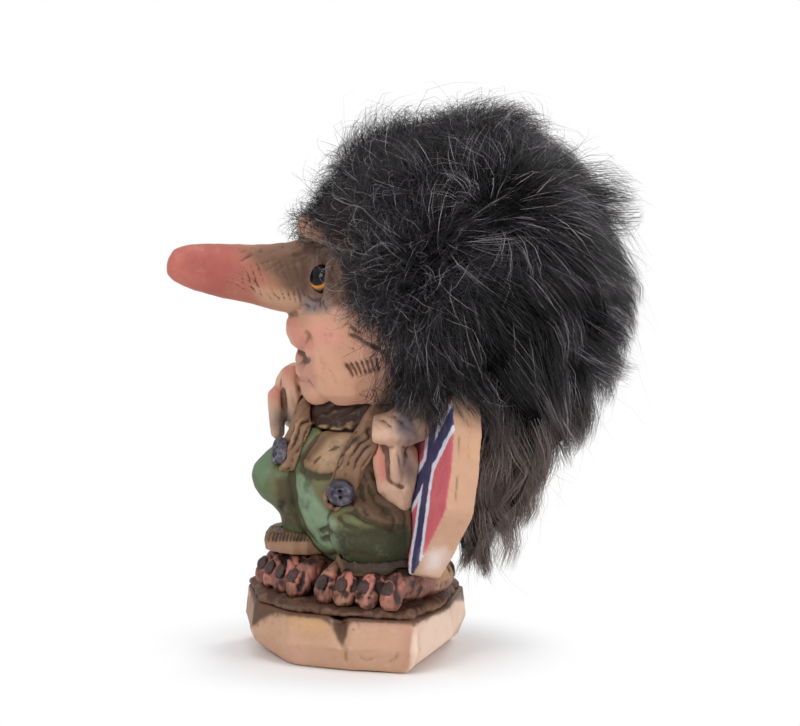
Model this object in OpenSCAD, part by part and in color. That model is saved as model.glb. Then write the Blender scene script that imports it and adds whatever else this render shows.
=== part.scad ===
// Troll figure: a squat troll with a long nose and a fur wig on a cut block, a flag board in its left hand.
// The troll's head looks along -Y, its left hand is at +X, and the block stands on z = 0.

/* [Figure] */
// Turn of the legs and chest to the troll's left, under the head
body_turn = 33; // [24:1:40]
// Turn of the block, the arms and the flag board to the troll's left
block_turn = 8; // [0:1:14]
// Clearance between neighbouring pieces
joint_gap = 0.15; // [0.1:0.05:0.25]

/* [Block and ground] */
// Height of the cut block
block_h = 15; // [10:0.5:22]
// How far the block's sides swell past its foot
block_swell = 3.5; // [1:0.5:5]
// Thickness of the dark ground on the block
crust_h = 2.5; // [1:0.5:5]

/* [Feet] */
// Length of a foot from heel to toe root
foot_l = 36; // [30:1:42]
// Width of a foot across its toes
foot_w = 26; // [22:1:29]
// Height of a foot's instep
foot_h = 12; // [9:0.5:14]
// Distance between the two feet's middles
foot_apart = 25.5; // [24:0.5:30]
// Outward turn of each foot
toe_out = 10; // [0:1:15]
// Radius of a toe
toe_r = 3.5; // [2.8:0.1:4]

/* [Trousers] */
// Width of the belly and seat
seat_w = 33; // [28:1:38]
// Depth of the belly and seat
seat_d = 32; // [28:1:36]
// Height of the trousers' waist above the ground
waist_h = 46; // [42:1:50]
// Width of a trouser leg at the knee
leg_w = 24; // [20:1:28]
// Height of the hems
hem_h = 6; // [4:0.5:8]
// Ribs round each hem
hem_ribs = 18; // [12:1:24]

/* [Chest] */
// Width of the chest
chest_w = 30; // [26:1:34]
// Width of a brace
brace_w = 8.5; // [6:0.5:10]
// Thickness of a brace
brace_t = 3; // [2:0.25:4]
// Radius of a brace button
button_r = 3.8; // [3:0.1:4.2]
// Thickness of a brace button
button_t = 2.2; // [1.8:0.1:3]

/* [Head] */
// Height of the chin's underside above the waist
chin_h = 4.5; // [3:0.5:7]
// Height of the head from chin to crown
head_h = 68; // [64:1:74]
// Width of the head
head_w = 48; // [42:1:54]
// Length of the nose beyond the face
nose_l = 40.5; // [30:0.5:50]
// Height of the nose's root
nose_h = 22; // [18:0.5:26]
// Radius of a glass eye
eye_r = 4.3; // [3.6:0.1:5]

/* [Flag board] */
// Thickness of the board
board_t = 8.4; // [5:0.2:10]
// Backward lean of the board
board_lean = 12; // [5:1:16]
// Radius of the board's corners
board_round = 3; // [1:0.5:4]

/* [Wig] */
// Width of the wig
wig_w = 88; // [76:1:100]
// Depth of the tufts in the wig's outline
tuft_d = 3.6; // [0:0.2:5]

/* [Hidden] */
right = -1;
left = 1;
ground_z = block_h + crust_h;
toes = 4;
foot_mid_x = 3.2;
waist_z = ground_z + waist_h;
// Hand-set heights from the ground to the waist are for a 46 mm waist and stretch with it
stretch = waist_h / 46;
chin_z = waist_z + chin_h;
head_top_z = chin_z + head_h;
eye_z = chin_z + 0.56 * head_h;
nose_z = chin_z + 0.54 * head_h;

// Hand-set places on the face are for a 48 mm head and keep to its front when the width changes
head_mid_y = 11;
function face_y(y) = head_mid_y + (y - head_mid_y) * head_w / 48;

// Smooth value at t (0 to 1) through the hand-set stations s
function station(s, t) =
    let (last = len(s) - 1, i = min(floor(t * last), last - 1), f = t * last - i,
         a = s[max(i - 1, 0)], b = s[i], c = s[i + 1], d = s[min(i + 2, last)])
    b + f * (c - a) / 2 + f * f * (a - 2.5 * b + 2 * c - d / 2)
      + f * f * f * (1.5 * (b - c) + (d - a) / 2);
function place(q) = [q[0], q[1], q[2]];
function unit(v) = v / norm(v);

// Closed skin over a list of rings that all have the same number of points, each end a fan to its middle
module skin(rings) {
    sides = len(rings[0]);
    last = len(rings) - 1;
    function mid(r) = [for (i = [0:2]) [for (p = r) p[i]] * [for (p = r) 1 / sides]];
    points = concat([for (r = rings) each r], [mid(rings[0]), mid(rings[last])]);
    tail = (last + 1) * sides;
    walls = [for (i = [0:last - 1], k = [0:sides - 1])
        let (a = i * sides + k, b = i * sides + (k + 1) % sides)
        each [[a, a + sides, b], [b, a + sides, b + sides]]];
    caps = [for (k = [0:sides - 1])
        let (n = (k + 1) % sides)
        each [[tail, k, n], [tail + 1, last * sides + n, last * sides + k]]];
    polyhedron(points, concat(walls, caps));
}

// Form with level rings: stations are [x, y, z, half width, half depth], rising in z, and g swells it
module upright(s, g = 0, rings = 9, sides = 20, ribs = 0, rib_d = 0)
    skin([for (i = [0:rings])
        let (q = station(s, i / rings), rise = i == 0 ? -g : (i == rings ? g : 0))
        [for (k = [0:sides - 1])
            let (t = 360 * k / sides, r = 1 + rib_d * cos(ribs * t))
            [q[0] + (q[3] + g) * r * cos(t), q[1] + (q[4] + g) * r * sin(t), q[2] + rise]]]);

// Form along a path: stations are [x, y, z, half width along the side vector, half height], g swells it
module limb(s, side, g = 0, rings = 8, sides = 12)
    skin([for (i = [0:rings])
        let (q = station(s, i / rings),
             way = unit(place(station(s, min(1, i / rings + 0.01)) - station(s, max(0, i / rings - 0.01)))),
             up = unit(cross(way, side)), across = cross(up, way),
             push = i == 0 ? -g : (i == rings ? g : 0))
        [for (k = [0:sides - 1])
            let (t = 360 * k / sides)
            place(q) + push * way + (q[3] + g) * cos(t) * across + (q[4] + g) * sin(t) * up]]);

// Egg with the half sizes r
module lump(c, r, g = 0, facets = 12) translate(c) scale(r + [g, g, g]) sphere(1, $fn = facets);

// Chain of rounded bones: stations are [x, y, z, radius]
module bones(s, g = 0, facets = 8)
    for (i = [0:len(s) - 2])
        hull()
            for (q = [s[i], s[i + 1]])
                translate(place(q)) sphere(q[3] + g, $fn = facets);

// One closed skin of facets from all the forms in it
module cast(colour) color(colour) resize([0, 0, 0]) children();

// Everything below the neck but the hands is turned to the troll's left
module turned() rotate(body_turn) children();

// Outline of the block, seen from above, in the unturned frame
block_outline = [[-27, -20], [-2, -25], [13, -20.5], [25, -8], [33.5, 6],
                 [17, 20], [-6, 32], [-25, 24], [-33, 2]];
function swollen(o, d) = [for (p = o) p * (1 + d / norm(p))];
module block_level(z, d) translate([0, 0, z]) linear_extrude(0.01) polygon(swollen(block_outline, d));
module sideways() rotate(block_turn) children();

module base_block() color("burlywood") sideways()
    hull() {
        block_level(0, 0);
        block_level(block_h * 0.45, block_swell);
        block_level(block_h - 0.01, block_swell * 0.7);
    }

module ground_crust() color("saddlebrown") sideways()
    hull() {
        block_level(block_h, block_swell * 0.5 - 0.8);
        block_level(block_h + crust_h * 0.5, block_swell * 0.5 - 0.4);
        block_level(ground_z - 0.01, block_swell * 0.5 - 2);
    }

// What lies above height z
module above(z) intersection() {
    children();
    translate([-100, -100, z]) cube([200, 200, 200]);
}

module foot_place(side)
    turned() translate([foot_mid_x + side * foot_apart / 2, 0, ground_z]) rotate(side * toe_out) children();

toe_step = foot_w / toes;
toe_root_y = -foot_l * 0.3;
function toe_x(i) = (i - (toes - 1) / 2) * toe_step;
function toe_back(i, side) = 0.5 * pow(i - (side > 0 ? 0.6 : 2.4), 2);

// Toe i of a foot: from its knuckle over the bend to the tip
module toe(i, side, g = 0) {
    y = toe_root_y + toe_back(i, side);
    bones([[toe_x(i), y, foot_h * 0.62, toe_r * 0.95],
           [toe_x(i) * 1.04, y - toe_r * 1.0, foot_h * 0.5, toe_r],
           [toe_x(i) * 1.06, y - toe_r * 1.75, toe_r * 0.75, toe_r * 0.95]], g);
}

module foot_form(side, g = 0) foot_place(side) {
    limb([[0, foot_l * 0.6, foot_h * 0.3, foot_w * 0.16, foot_h * 0.3],
          [0, foot_l * 0.5, foot_h * 0.38, foot_w * 0.33, foot_h * 0.5],
          [0, foot_l * 0.2, foot_h * 0.42, foot_w * 0.4, foot_h * 0.6],
          [0, -foot_l * 0.08, foot_h * 0.42, foot_w * 0.46, foot_h * 0.62],
          [0, toe_root_y - 1, foot_h * 0.4, foot_w * 0.49, foot_h * 0.4],
          [0, toe_root_y - 2.5, foot_h * 0.36, foot_w * 0.42, foot_h * 0.2]],
         [1, 0, 0], g, 7, 14);
    for (i = [0:toes - 1])
        toe(i, side, g);
}

module right_foot() cast("rosybrown") difference() {
    above(ground_z) foot_form(right);
    board_form(joint_gap);
}

module left_foot() cast("rosybrown") difference() {
    above(ground_z) foot_form(left);
    foot_form(right, joint_gap);
    board_form(joint_gap);
}

module toenails(side) cast("dimgray") difference() {
    foot_place(side)
        for (i = [0:toes - 1])
            translate([toe_x(i) * 1.05, toe_root_y + toe_back(i, side) - toe_r * 2.05, foot_h * 0.46])
                rotate([62, 0, 0])
                    scale([toe_r * 0.6, toe_r * 0.8, toe_r * 0.5]) sphere(1, $fn = 8);
    foot_form(side, joint_gap);
}
module right_toenails() toenails(right);
module left_toenails() toenails(left);

// Belly and seat: the middle of the trousers, from between the legs to the waist
module seat_form(g = 0) turned()
    upright([[1.5, 5, ground_z + 7 * stretch, seat_w * 0.28, seat_d * 0.3],
             [1, 3.5, ground_z + 12 * stretch, seat_w * 0.42, seat_d * 0.45],
             [0.5, 1, ground_z + 22 * stretch, seat_w * 0.5, seat_d * 0.52],
             [0, -2, ground_z + 33 * stretch, seat_w * 0.49, seat_d * 0.49],
             [0, -2, waist_z - 5 * stretch, seat_w * 0.45, seat_d * 0.42],
             [0, -1, waist_z, seat_w * 0.38, seat_d * 0.34]], g, 9, 20);

module trouser_seat() cast("darkolivegreen") difference() {
    seat_form();
    foot_form(right, joint_gap);
    foot_form(left, joint_gap);
}

leg_foot_z = ground_z + 12 * stretch;
module right_leg_form(g = 0) turned()
    upright([[-12, -3.5, leg_foot_z + 2 * stretch, leg_w * 0.36, leg_w * 0.36],
             [-12.5, -4.5, leg_foot_z + 9 * stretch, leg_w * 0.35, leg_w * 0.38],
             [-13.5, -8, leg_foot_z + 15 * stretch, leg_w * 0.42, leg_w * 0.52],
             [-14, -9, leg_foot_z + 22 * stretch, leg_w * 0.43, leg_w * 0.53],
             [-13.5, -7.5, leg_foot_z + 28 * stretch, leg_w * 0.24, leg_w * 0.32]], g);
module left_leg_form(g = 0) turned()
    upright([[15, 1, leg_foot_z - 1 * stretch, leg_w * 0.46, leg_w * 0.62],
             [15.5, 0, leg_foot_z + 3 * stretch, leg_w * 0.55, leg_w * 0.74],
             [15, -1, leg_foot_z + 8 * stretch, leg_w * 0.56, leg_w * 0.73],
             [13.5, -1.5, leg_foot_z + 13 * stretch, leg_w * 0.49, leg_w * 0.62],
             [11.5, -1, leg_foot_z + 18 * stretch, leg_w * 0.26, leg_w * 0.36]], g);

module right_trouser_leg() cast("darkolivegreen") difference() {
    right_leg_form();
    seat_form(joint_gap);
    foot_form(right, joint_gap);
    button_room(right_brace_path);
}
module left_trouser_leg() cast("darkolivegreen") difference() {
    left_leg_form();
    seat_form(joint_gap);
    foot_form(left, joint_gap);
    board_form(joint_gap);
    left_hand_form(joint_gap);
    button_room(left_brace_path);
}

// Ribbed hem that flares round the end of a leg, over the instep
module hem_form(x, y, z, w, d, g = 0) turned()
    upright([[x, y, z - hem_h * 0.4, w * 1.02, d * 1.02],
             [x, y, z + hem_h * 0.1, w * 1.06, d * 1.06],
             [x, y, z + hem_h * 0.6, w * 0.9, d * 0.9]],
            g, 3, hem_ribs * 2, hem_ribs, 0.02);

module right_hem_form(g = 0) hem_form(-13, -5.5, leg_foot_z + 1, leg_w * 0.45, leg_w * 0.46, g);
module left_hem_form(g = 0) hem_form(15, -0.5, leg_foot_z - 1.5, leg_w * 0.53, leg_w * 0.6, g);
module right_hem() cast("darkkhaki") difference() {
    right_hem_form();
    right_leg_form(joint_gap);
    seat_form(joint_gap);
    foot_form(right, joint_gap);
    foot_form(left, joint_gap);
}
// Between the left heel and the back of the seat, where the hem stops
module under_seat_back() turned()
    translate([foot_mid_x + foot_apart / 2 - seat_w, seat_d * 0.4, 0]) cube([seat_w, seat_d, waist_z]);
module left_hem() cast("darkkhaki") difference() {
    left_hem_form();
    left_leg_form(joint_gap);
    seat_form(joint_gap);
    foot_form(left, joint_gap);
    foot_form(right, joint_gap);
    behind_board(joint_gap);
    under_seat_back();
}

module shirt_form(g = 0) turned()
    upright([[0, 0, waist_z - 8, chest_w * 0.3, chest_w * 0.26],
             [0, 0, waist_z - 1, chest_w * 0.47, chest_w * 0.38],
             [0, 1, waist_z + 5, chest_w * 0.5, chest_w * 0.4],
             [0, 4, waist_z + 12, chest_w * 0.4, chest_w * 0.34],
             [0, 7, waist_z + 17, chest_w * 0.24, chest_w * 0.24]], g);
module shirt() cast("saddlebrown") difference() {
    shirt_form();
    seat_form(joint_gap);
}

// A brace runs from its rounded tab over the belly and the shoulder and down the back to the waist
right_brace_path = [[-9.5, -17.5, waist_z - 11.5 * stretch], [-8.5, -17, waist_z - 6.5 * stretch],
                    [-8, -13.5, waist_z - 0.5], [-10, -9, waist_z + 4.5], [-13.5, -1, waist_z + 8],
                    [-12, 8, waist_z + 6], [-8, 14, waist_z - 1], [-6, 16.5, waist_z - 10 * stretch]];
left_brace_path = [[9.5, -15.8, waist_z - 20.5 * stretch], [11, -14, waist_z - 15 * stretch],
                   [13, -11.5, waist_z - 7 * stretch], [14.5, -7.5, waist_z - 1], [14, 0, waist_z + 7],
                   [12, 8, waist_z + 6], [8, 14, waist_z - 1], [6, 16.5, waist_z - 10 * stretch]];
brace_heart = [0, 0, waist_z - 6 * stretch];
module strap(path, g = 0) {
    last = len(path) - 1;
    steps = 2 * last;
    skin([for (i = [0:steps])
        let (p = station(path, i / steps),
             way = unit(station(path, min(1, i / steps + 0.01)) - station(path, max(0, i / steps - 0.01))),
             across = unit(cross(p - brace_heart, way)), out = cross(way, across),
             w = brace_w * (i == 0 ? 0.3 : (i == 1 ? 0.5 : 0.46)) + g, h = brace_t / 2 + g)
        [for (c = [[1, 0.45], [0.8, 1], [-0.8, 1], [-1, 0.45], [-1, -2], [1, -2]])
            p + w * c[0] * across + h * c[1] * out]]);
}

// Buttons lie on the braces a little above their tabs
function button_at(path) = station(path, 1 / (len(path) - 1));
function button_way(path) = unit(button_at(path) - brace_heart - [0, 0, -4]);
module button_place(path) {
    way = button_way(path);
    turned() translate(button_at(path) + way * brace_t * 0.3)
        rotate([0, acos(way[2]), atan2(way[1], way[0])]) children();
}
module button(path) color("slategray") button_place(path) difference() {
    rotate_extrude()
        polygon([[0, 0], [button_r, 0], [button_r, button_t * 0.7], [button_r * 0.85, button_t],
                 [button_r * 0.65, button_t], [button_r * 0.55, button_t * 0.8], [0, button_t * 0.8]]);
    for (side = [-1, 1])
        translate([side * button_r * 0.25, 0, button_t * 0.35])
            cylinder(r = button_r * 0.15, h = button_t, $fn = 16);
}
// Room for a button: its own place and what lies in front of it
module button_room(path) button_place(path)
    translate([0, 0, -joint_gap]) cylinder(r = button_r + joint_gap, h = button_t + brace_t, $fn = 28);

module brace(path) cast("peru") difference() {
    turned() strap(path);
    shirt_form(joint_gap);
    seat_form(joint_gap);
    right_leg_form(joint_gap);
    left_leg_form(joint_gap);
    button_room(path);
    head_form(joint_gap);
    jaw_form(joint_gap);
}
module right_brace() brace(right_brace_path);
module left_brace() brace(left_brace_path);
module right_brace_button() button(right_brace_path);
module left_brace_button() button(left_brace_path);

// Arms: from the shoulder over the elbow to the wrist
module right_arm_form(g = 0) sideways()
    limb([[-9, 2, waist_z + 8, 5, 5], [-17, 1, waist_z + 5, 7, 7], [-23, -1, waist_z, 7, 7],
          [-24.5, -6, waist_z - 1, 6, 6.5], [-21.5, -10.5, waist_z + 4, 5, 5],
          [-19, -11, waist_z + 8, 4.5, 4.5]],
         [0, 0.3, 1], g, 9, 14);
module left_arm_form(g = 0) sideways()
    limb([[9, 12, waist_z + 7, 4.5, 5], [15, 14.5, waist_z + 6, 5.5, 6.5],
          [20, 11.5, waist_z + 3.5, 5.5, 6.5], [20.5, 5.5, waist_z + 2, 5, 6],
          [18.5, 0, waist_z + 2, 3.5, 4.8]],
         [0.3, 0, 1], g, 8, 14);

module arm_cuts() {
    shirt_form(joint_gap);
    seat_form(joint_gap);
    right_leg_form(joint_gap);
    turned() strap(right_brace_path, joint_gap);
    turned() strap(left_brace_path, joint_gap);
    head_form(joint_gap);
    board_form(joint_gap);
}
module right_arm() cast("burlywood") difference() {
    right_arm_form();
    arm_cuts();
}
module left_arm() cast("burlywood") difference() {
    left_arm_form();
    arm_cuts();
}

// The right hand holds its brace: knuckles up, fingers hanging to the front
module right_hand_form(g = 0) sideways() {
    lump([-18, -10, waist_z + 9], [4.5, 7, 6.5], g);
    bones([[-17, -14.5, waist_z + 8, 3], [-14.5, -17.5, waist_z + 6.5, 2.8],
           [-13, -17.5, waist_z - 3, 2.4]], g);
    bones([[-17, -12, waist_z + 12, 3], [-13.5, -13.5, waist_z + 12.5, 3.1],
           [-12, -12.8, waist_z + 1, 2.5]], g);
    bones([[-17, -9, waist_z + 12, 2.8], [-13, -11, waist_z + 9.5, 2.7],
           [-10.5, -6, waist_z + 2.5, 2.3]], g);
    bones([[-18, -5, waist_z + 9, 2.8], [-15, -4, waist_z + 5, 2.4]], g);
}
module right_hand() cast("burlywood") difference() {
    right_hand_form();
    right_arm_form(joint_gap);
    jaw_form(joint_gap);
    arm_cuts();
}

// The left hand grips the inner edge of the board
module left_hand_form(g = 0) sideways() {
    lump([17, 8.5, waist_z - 12], [6, 6.5, 11.5], g);
    bones([[17.5, 3.5, waist_z - 3, 2.8], [17.5, 2.6, waist_z - 7, 2.5], [18, 3.4, waist_z - 15, 2]], g);
    bones([[21, 6, waist_z - 3, 2.6], [21.5, 5.6, waist_z - 7, 2.5], [21, 6.2, waist_z - 12, 2.1]], g);
    bones([[20.5, 8, waist_z - 13, 2.5], [20.5, 7.8, waist_z - 20, 2.1]], g);
}
module left_hand() cast("burlywood") difference() {
    left_hand_form();
    left_arm_form(joint_gap);
    arm_cuts();
}

// Head from the chin to the crown, with cheeks and the upper lip
module head_form(g = 0) {
    upright([[0, 5, chin_z, head_w * 0.2, head_w * 0.22],
             [0, 5, chin_z + head_h * 0.07, head_w * 0.3, head_w * 0.31],
             [0, 6, chin_z + head_h * 0.18, head_w * 0.38, head_w * 0.4],
             [0, 9, chin_z + head_h * 0.33, head_w * 0.44, head_w * 0.52],
             [0, 11, chin_z + head_h * 0.48, head_w * 0.48, head_w * 0.59],
             [0, 12, chin_z + head_h * 0.63, head_w * 0.5, head_w * 0.61],
             [0, 16, chin_z + head_h * 0.8, head_w * 0.45, head_w * 0.54],
             [0, 17, chin_z + head_h * 0.93, head_w * 0.31, head_w * 0.42],
             [0, 17, head_top_z, head_w * 0.12, head_w * 0.15]], g, 11, 18);
    for (side = [right, left])
        lump([side * head_w * 0.19, face_y(-2.5), chin_z + head_h * 0.23], [head_w * 0.19, 12.5, head_h * 0.2], g);
    lump([0, face_y(-13.5), chin_z + head_h * 0.34], [8.5, 5, 6.5], g);
}
module head() cast("peachpuff") difference() {
    head_form();
    shirt_form(joint_gap);
    eye_sockets();
}

module jaw_form(g = 0) {
    lump([0, face_y(-9), chin_z + 6.5], [9, 5.5, 5.5], g);
    lump([0, face_y(-12), chin_z + 11], [8, 4, 2.8], g);
}
module jaw() cast("peachpuff") difference() {
    jaw_form();
    head_form(joint_gap);
    shirt_form(joint_gap);
}

nose_root_y = face_y(-10);
module nose_form(g = 0)
    limb([[0, nose_root_y, nose_z, nose_h * 0.42, nose_h * 0.54],
          [0, nose_root_y - nose_l * 0.22, nose_z + 0.5, nose_h * 0.36, nose_h * 0.44],
          [0, nose_root_y - nose_l * 0.45, nose_z + 1.6, nose_h * 0.3, nose_h * 0.37],
          [0, nose_root_y - nose_l * 0.68, nose_z + 3, nose_h * 0.28, nose_h * 0.33],
          [0, nose_root_y - nose_l * 0.88, nose_z + 4.2, nose_h * 0.24, nose_h * 0.27],
          [0, nose_root_y - nose_l * 0.99, nose_z + 5, nose_h * 0.15, nose_h * 0.17],
          [0, nose_root_y - nose_l * 1.01, nose_z + 5.2, nose_h * 0.05, nose_h * 0.06]],
         [1, 0, 0], g, 12, 16);
module nose() cast("salmon") difference() {
    nose_form();
    head_form(joint_gap);
    eye_sockets();
}

eye_x = head_w * 0.25;
eye_y = face_y(-10.8);
module eye_sockets()
    for (side = [right, left])
        lump([side * eye_x, eye_y, eye_z], [eye_r, eye_r, eye_r], joint_gap, 24);
module eye(side) color("black") translate([side * eye_x, eye_y, eye_z]) sphere(eye_r, $fn = 32);
module right_eye() eye(right);
module left_eye() eye(left);

module brow_form(side, g = 0)
    limb([[side * 1.5, face_y(-10.5), eye_z + 12, 2, 2],
          [side * head_w * 0.125, face_y(-10.5), eye_z + 12, 4, 4.2],
          [side * head_w * 0.25, face_y(-8), eye_z + 10.5, 4.2, 4.2],
          [side * head_w * 0.354, face_y(-2), eye_z + 7, 2.5, 3]],
         [0, 1, 0.3], g, 6, 10);
module brow(side) cast("burlywood") difference() {
    brow_form(side);
    head_form(joint_gap);
    nose_form(joint_gap);
    eye_sockets();
    if (side > 0)
        brow_form(-side, joint_gap);
}
module right_brow() brow(right);
module left_brow() brow(left);

// Board: its outline lies in its own plane, from the point where the hand grips its inner edge
grip = [18, 11.5, 50];
board_outline = [[11.6, -26.4], [21, -15.5], [29.5, -3.1], [28, 8], [23.2, 19.3], [16, 28],
                 [4, 27], [-5, 22], [-5.9, 10.7], [0, 0], [6.5, -13]];
module board_form(g = 0) sideways()
    translate(grip) rotate([90 - board_lean, 0, 0]) translate([0, 0, -board_t - g])
        linear_extrude(board_t + 2 * g) offset(board_round + g) offset(-board_round) polygon(board_outline);
// The board and the room behind it
module behind_board(g) hull() for (back = [0, seat_d]) translate([0, back, 0]) board_form(g);
module flag_board() color("wheat") board_form();

// Wig: stations are [height over the chin, front, back, half width as a share], rings bulge into tufts
wig_levels = [[-46.5, 32, 36, 0.05], [-38, 28, 41, 0.28], [-28, 24, 49, 0.48], [-18, 21, 55, 0.62],
              [-8, 18, 61, 0.75], [2, 8, 69, 0.85], [12, 4, 71, 0.92], [22, 2, 76, 0.98],
              [32, -5, 79, 1], [42, -7, 75, 1], [52, -6, 73, 0.97], [62, -1, 71, 0.9],
              [71, 5, 64, 0.78], [79, 16, 54, 0.5], [83.5, 31, 44, 0.15]];
wig_corner = 0.8;
function bow(c) = sign(c) * pow(abs(c), wig_corner);
module wig_form() {
    rings = 22;
    sides = 28;
    skin([for (i = [0:rings])
        let (q = station(wig_levels, i / rings), y = (q[1] + q[2]) / 2, b = (q[2] - q[1]) / 2,
             a = q[3] * wig_w / 2, fade = min(1, b / 20))
        [for (k = [0:sides - 1])
            let (t = 360 * k / sides, back = (1 + sin(t)) / 2,
                 d = tuft_d * fade * back * (cos(9 * t + 28 * i) + 0.4 * cos(5 * t - 50 * i)))
            [(a + d) * bow(cos(t)), y + (b + d) * bow(sin(t)), chin_z + q[0]]]]);
}
module wig() cast("dimgray") difference() {
    wig_form();
    head_form(joint_gap);
    shirt_form(joint_gap);
    seat_form(joint_gap);
    nose_form(joint_gap);
    eye_sockets();
    for (side = [right, left])
        brow_form(side, joint_gap);
    right_arm_form(joint_gap);
    left_arm_form(joint_gap);
    turned() strap(right_brace_path, joint_gap);
    turned() strap(left_brace_path, joint_gap);
    left_leg_form(joint_gap);
    left_hand_form(joint_gap);
    board_form(joint_gap);
}

base_block();
ground_crust();
right_foot();
left_foot();
right_toenails();
left_toenails();
trouser_seat();
right_trouser_leg();
left_trouser_leg();
right_hem();
left_hem();
shirt();
right_brace();
left_brace();
right_brace_button();
left_brace_button();
right_arm();
left_arm();
right_hand();
left_hand();
head();
jaw();
nose();
right_eye();
left_eye();
right_brow();
left_brow();
flag_board();
wig();
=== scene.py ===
# %% [markdown]
# # A troll figure with a fur wig
#
# This lesson dresses a imported CAD model of a small troll ornament. The real one is a casting that was
# painted by hand, with two glass eyes, a thick painted board in one hand and a long black fur wig.
# The CAD model gives every member its place and size. Here most of them are turned into a sculpted and
# painted surface, the glass eyes into smooth painted balls, the brace buttons only get a coat, and
# the wig's plain solid is replaced by fur.

# %% Load the imported model
import bpy
import math
import numpy as np
from mathutils import Matrix, Vector
from mathutils.bvhtree import BVHTree
from mathutils.kdtree import KDTree


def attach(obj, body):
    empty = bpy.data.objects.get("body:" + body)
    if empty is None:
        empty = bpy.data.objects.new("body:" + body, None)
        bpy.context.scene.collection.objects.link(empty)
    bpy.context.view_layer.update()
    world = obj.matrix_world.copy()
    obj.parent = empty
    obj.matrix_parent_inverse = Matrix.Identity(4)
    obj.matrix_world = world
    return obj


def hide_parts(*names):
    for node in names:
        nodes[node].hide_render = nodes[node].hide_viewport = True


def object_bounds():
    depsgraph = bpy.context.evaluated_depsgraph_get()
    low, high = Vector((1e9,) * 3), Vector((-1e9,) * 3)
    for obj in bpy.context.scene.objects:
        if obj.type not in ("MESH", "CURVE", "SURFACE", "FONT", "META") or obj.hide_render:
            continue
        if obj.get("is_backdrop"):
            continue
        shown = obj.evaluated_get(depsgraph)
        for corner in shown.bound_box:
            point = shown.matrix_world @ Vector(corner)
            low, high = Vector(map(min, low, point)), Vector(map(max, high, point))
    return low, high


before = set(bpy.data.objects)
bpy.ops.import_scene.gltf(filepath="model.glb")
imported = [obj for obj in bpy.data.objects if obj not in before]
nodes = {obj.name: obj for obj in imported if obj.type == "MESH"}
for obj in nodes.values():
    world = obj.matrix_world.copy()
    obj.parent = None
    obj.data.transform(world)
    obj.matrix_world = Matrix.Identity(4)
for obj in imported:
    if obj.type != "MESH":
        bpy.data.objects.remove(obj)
low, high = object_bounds()
cad_box = [list(low), list(high)]
MM = 0.001
scene = bpy.context.scene
scene.view_settings.view_transform = "Standard"
print("CAD nodes:", len(nodes))

# %% [markdown]
# ## Camera and studio
#
# The camera stands on the troll's left, a little in front and a little above. A long lens from far
# away keeps the proportions plain. Its three directions are also used later, to place a wrinkle or a
# brush mark where the eye sees it: a point of the picture is sent along its line of sight until it
# meets the surface.

# %% Camera
TOWARDS = Vector((0.9727, -0.1715, 0.1564)).normalized()
RIGHT = Vector((0.1736, 0.9848, 0.0)).normalized()
UP = TOWARDS.cross(RIGHT).normalized()
PICTURE_MM = 0.275
PICTURE_WIDTH, PICTURE_HEIGHT = 800, 726
SENSOR = 36
DISTANCE = 1.5
CENTRE_RIGHT, CENTRE_UP, CENTRE_TOWARDS = 13.2, 79.75, 12
centre = (CENTRE_RIGHT * RIGHT + CENTRE_UP * UP + CENTRE_TOWARDS * TOWARDS) * MM
eye_point = centre + TOWARDS * DISTANCE
lens = bpy.data.cameras.new("camera")
lens.sensor_width = SENSOR
lens.lens = SENSOR * DISTANCE / (PICTURE_WIDTH * PICTURE_MM * MM)
lens.clip_end = 20
camera = bpy.data.objects.new("camera", lens)
scene.collection.objects.link(camera)
turn = Matrix((RIGHT, UP, TOWARDS)).transposed()
camera.matrix_world = Matrix.Translation(eye_point) @ turn.to_4x4()
scene.camera = camera


def sight(px, py):
    """Start and direction of the line of sight through a point of the picture."""
    aim = centre + ((px - PICTURE_WIDTH / 2) * RIGHT + (PICTURE_HEIGHT / 2 - py) * UP) * PICTURE_MM * MM
    return eye_point, (aim - eye_point).normalized()


def as_seen(points):
    """Picture coordinates of every point."""
    from_eye = points - np.array(eye_point)
    scale = DISTANCE / (from_eye @ -np.array(TOWARDS)) / (PICTURE_MM * MM)
    px = PICTURE_WIDTH / 2 + from_eye @ np.array(RIGHT) * scale
    py = PICTURE_HEIGHT / 2 - from_eye @ np.array(UP) * scale
    return px, py


# %% Floor and sky
FADE_START, FADE_END = 0.032, 0.066
LAMP_AIM = Vector((0, 0.015, 0.08))


def deselect():
    bpy.ops.object.select_all(action="DESELECT")


deselect()
bpy.ops.mesh.primitive_grid_add(x_subdivisions=2, y_subdivisions=2, size=12, location=(0, 0, -0.0002))
floor = bpy.context.object
floor.name = "floor"
floor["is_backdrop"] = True
world = bpy.data.worlds.new("studio")
scene.world = world
world.use_nodes = True


def white_for_the_camera(tree, plain, shown):
    """Gives the shader `shown` to camera, glossy and transmission rays and `plain` to all others."""
    path = tree.nodes.new("ShaderNodeLightPath")
    either = path.outputs["Is Camera Ray"]
    for ray in ("Is Glossy Ray", "Is Transmission Ray"):
        larger = tree.nodes.new("ShaderNodeMath")
        larger.operation = "MAXIMUM"
        tree.links.new(either, larger.inputs[0])
        tree.links.new(path.outputs[ray], larger.inputs[1])
        either = larger.outputs[0]
    mix = tree.nodes.new("ShaderNodeMixShader")
    tree.links.new(either, mix.inputs[0])
    tree.links.new(plain, mix.inputs[1])
    tree.links.new(shown, mix.inputs[2])
    return mix.outputs[0]


sky = world.node_tree
sky.nodes.clear()
dim = sky.nodes.new("ShaderNodeBackground")
dim.inputs["Color"].default_value = (0.92, 0.95, 1.0, 1)
dim.inputs["Strength"].default_value = 0.5
bright = sky.nodes.new("ShaderNodeBackground")
bright.inputs["Strength"].default_value = 1.0
sky_out = sky.nodes.new("ShaderNodeOutputWorld")
sky.links.new(white_for_the_camera(sky, dim.outputs[0], bright.outputs[0]), sky_out.inputs[0])

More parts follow.
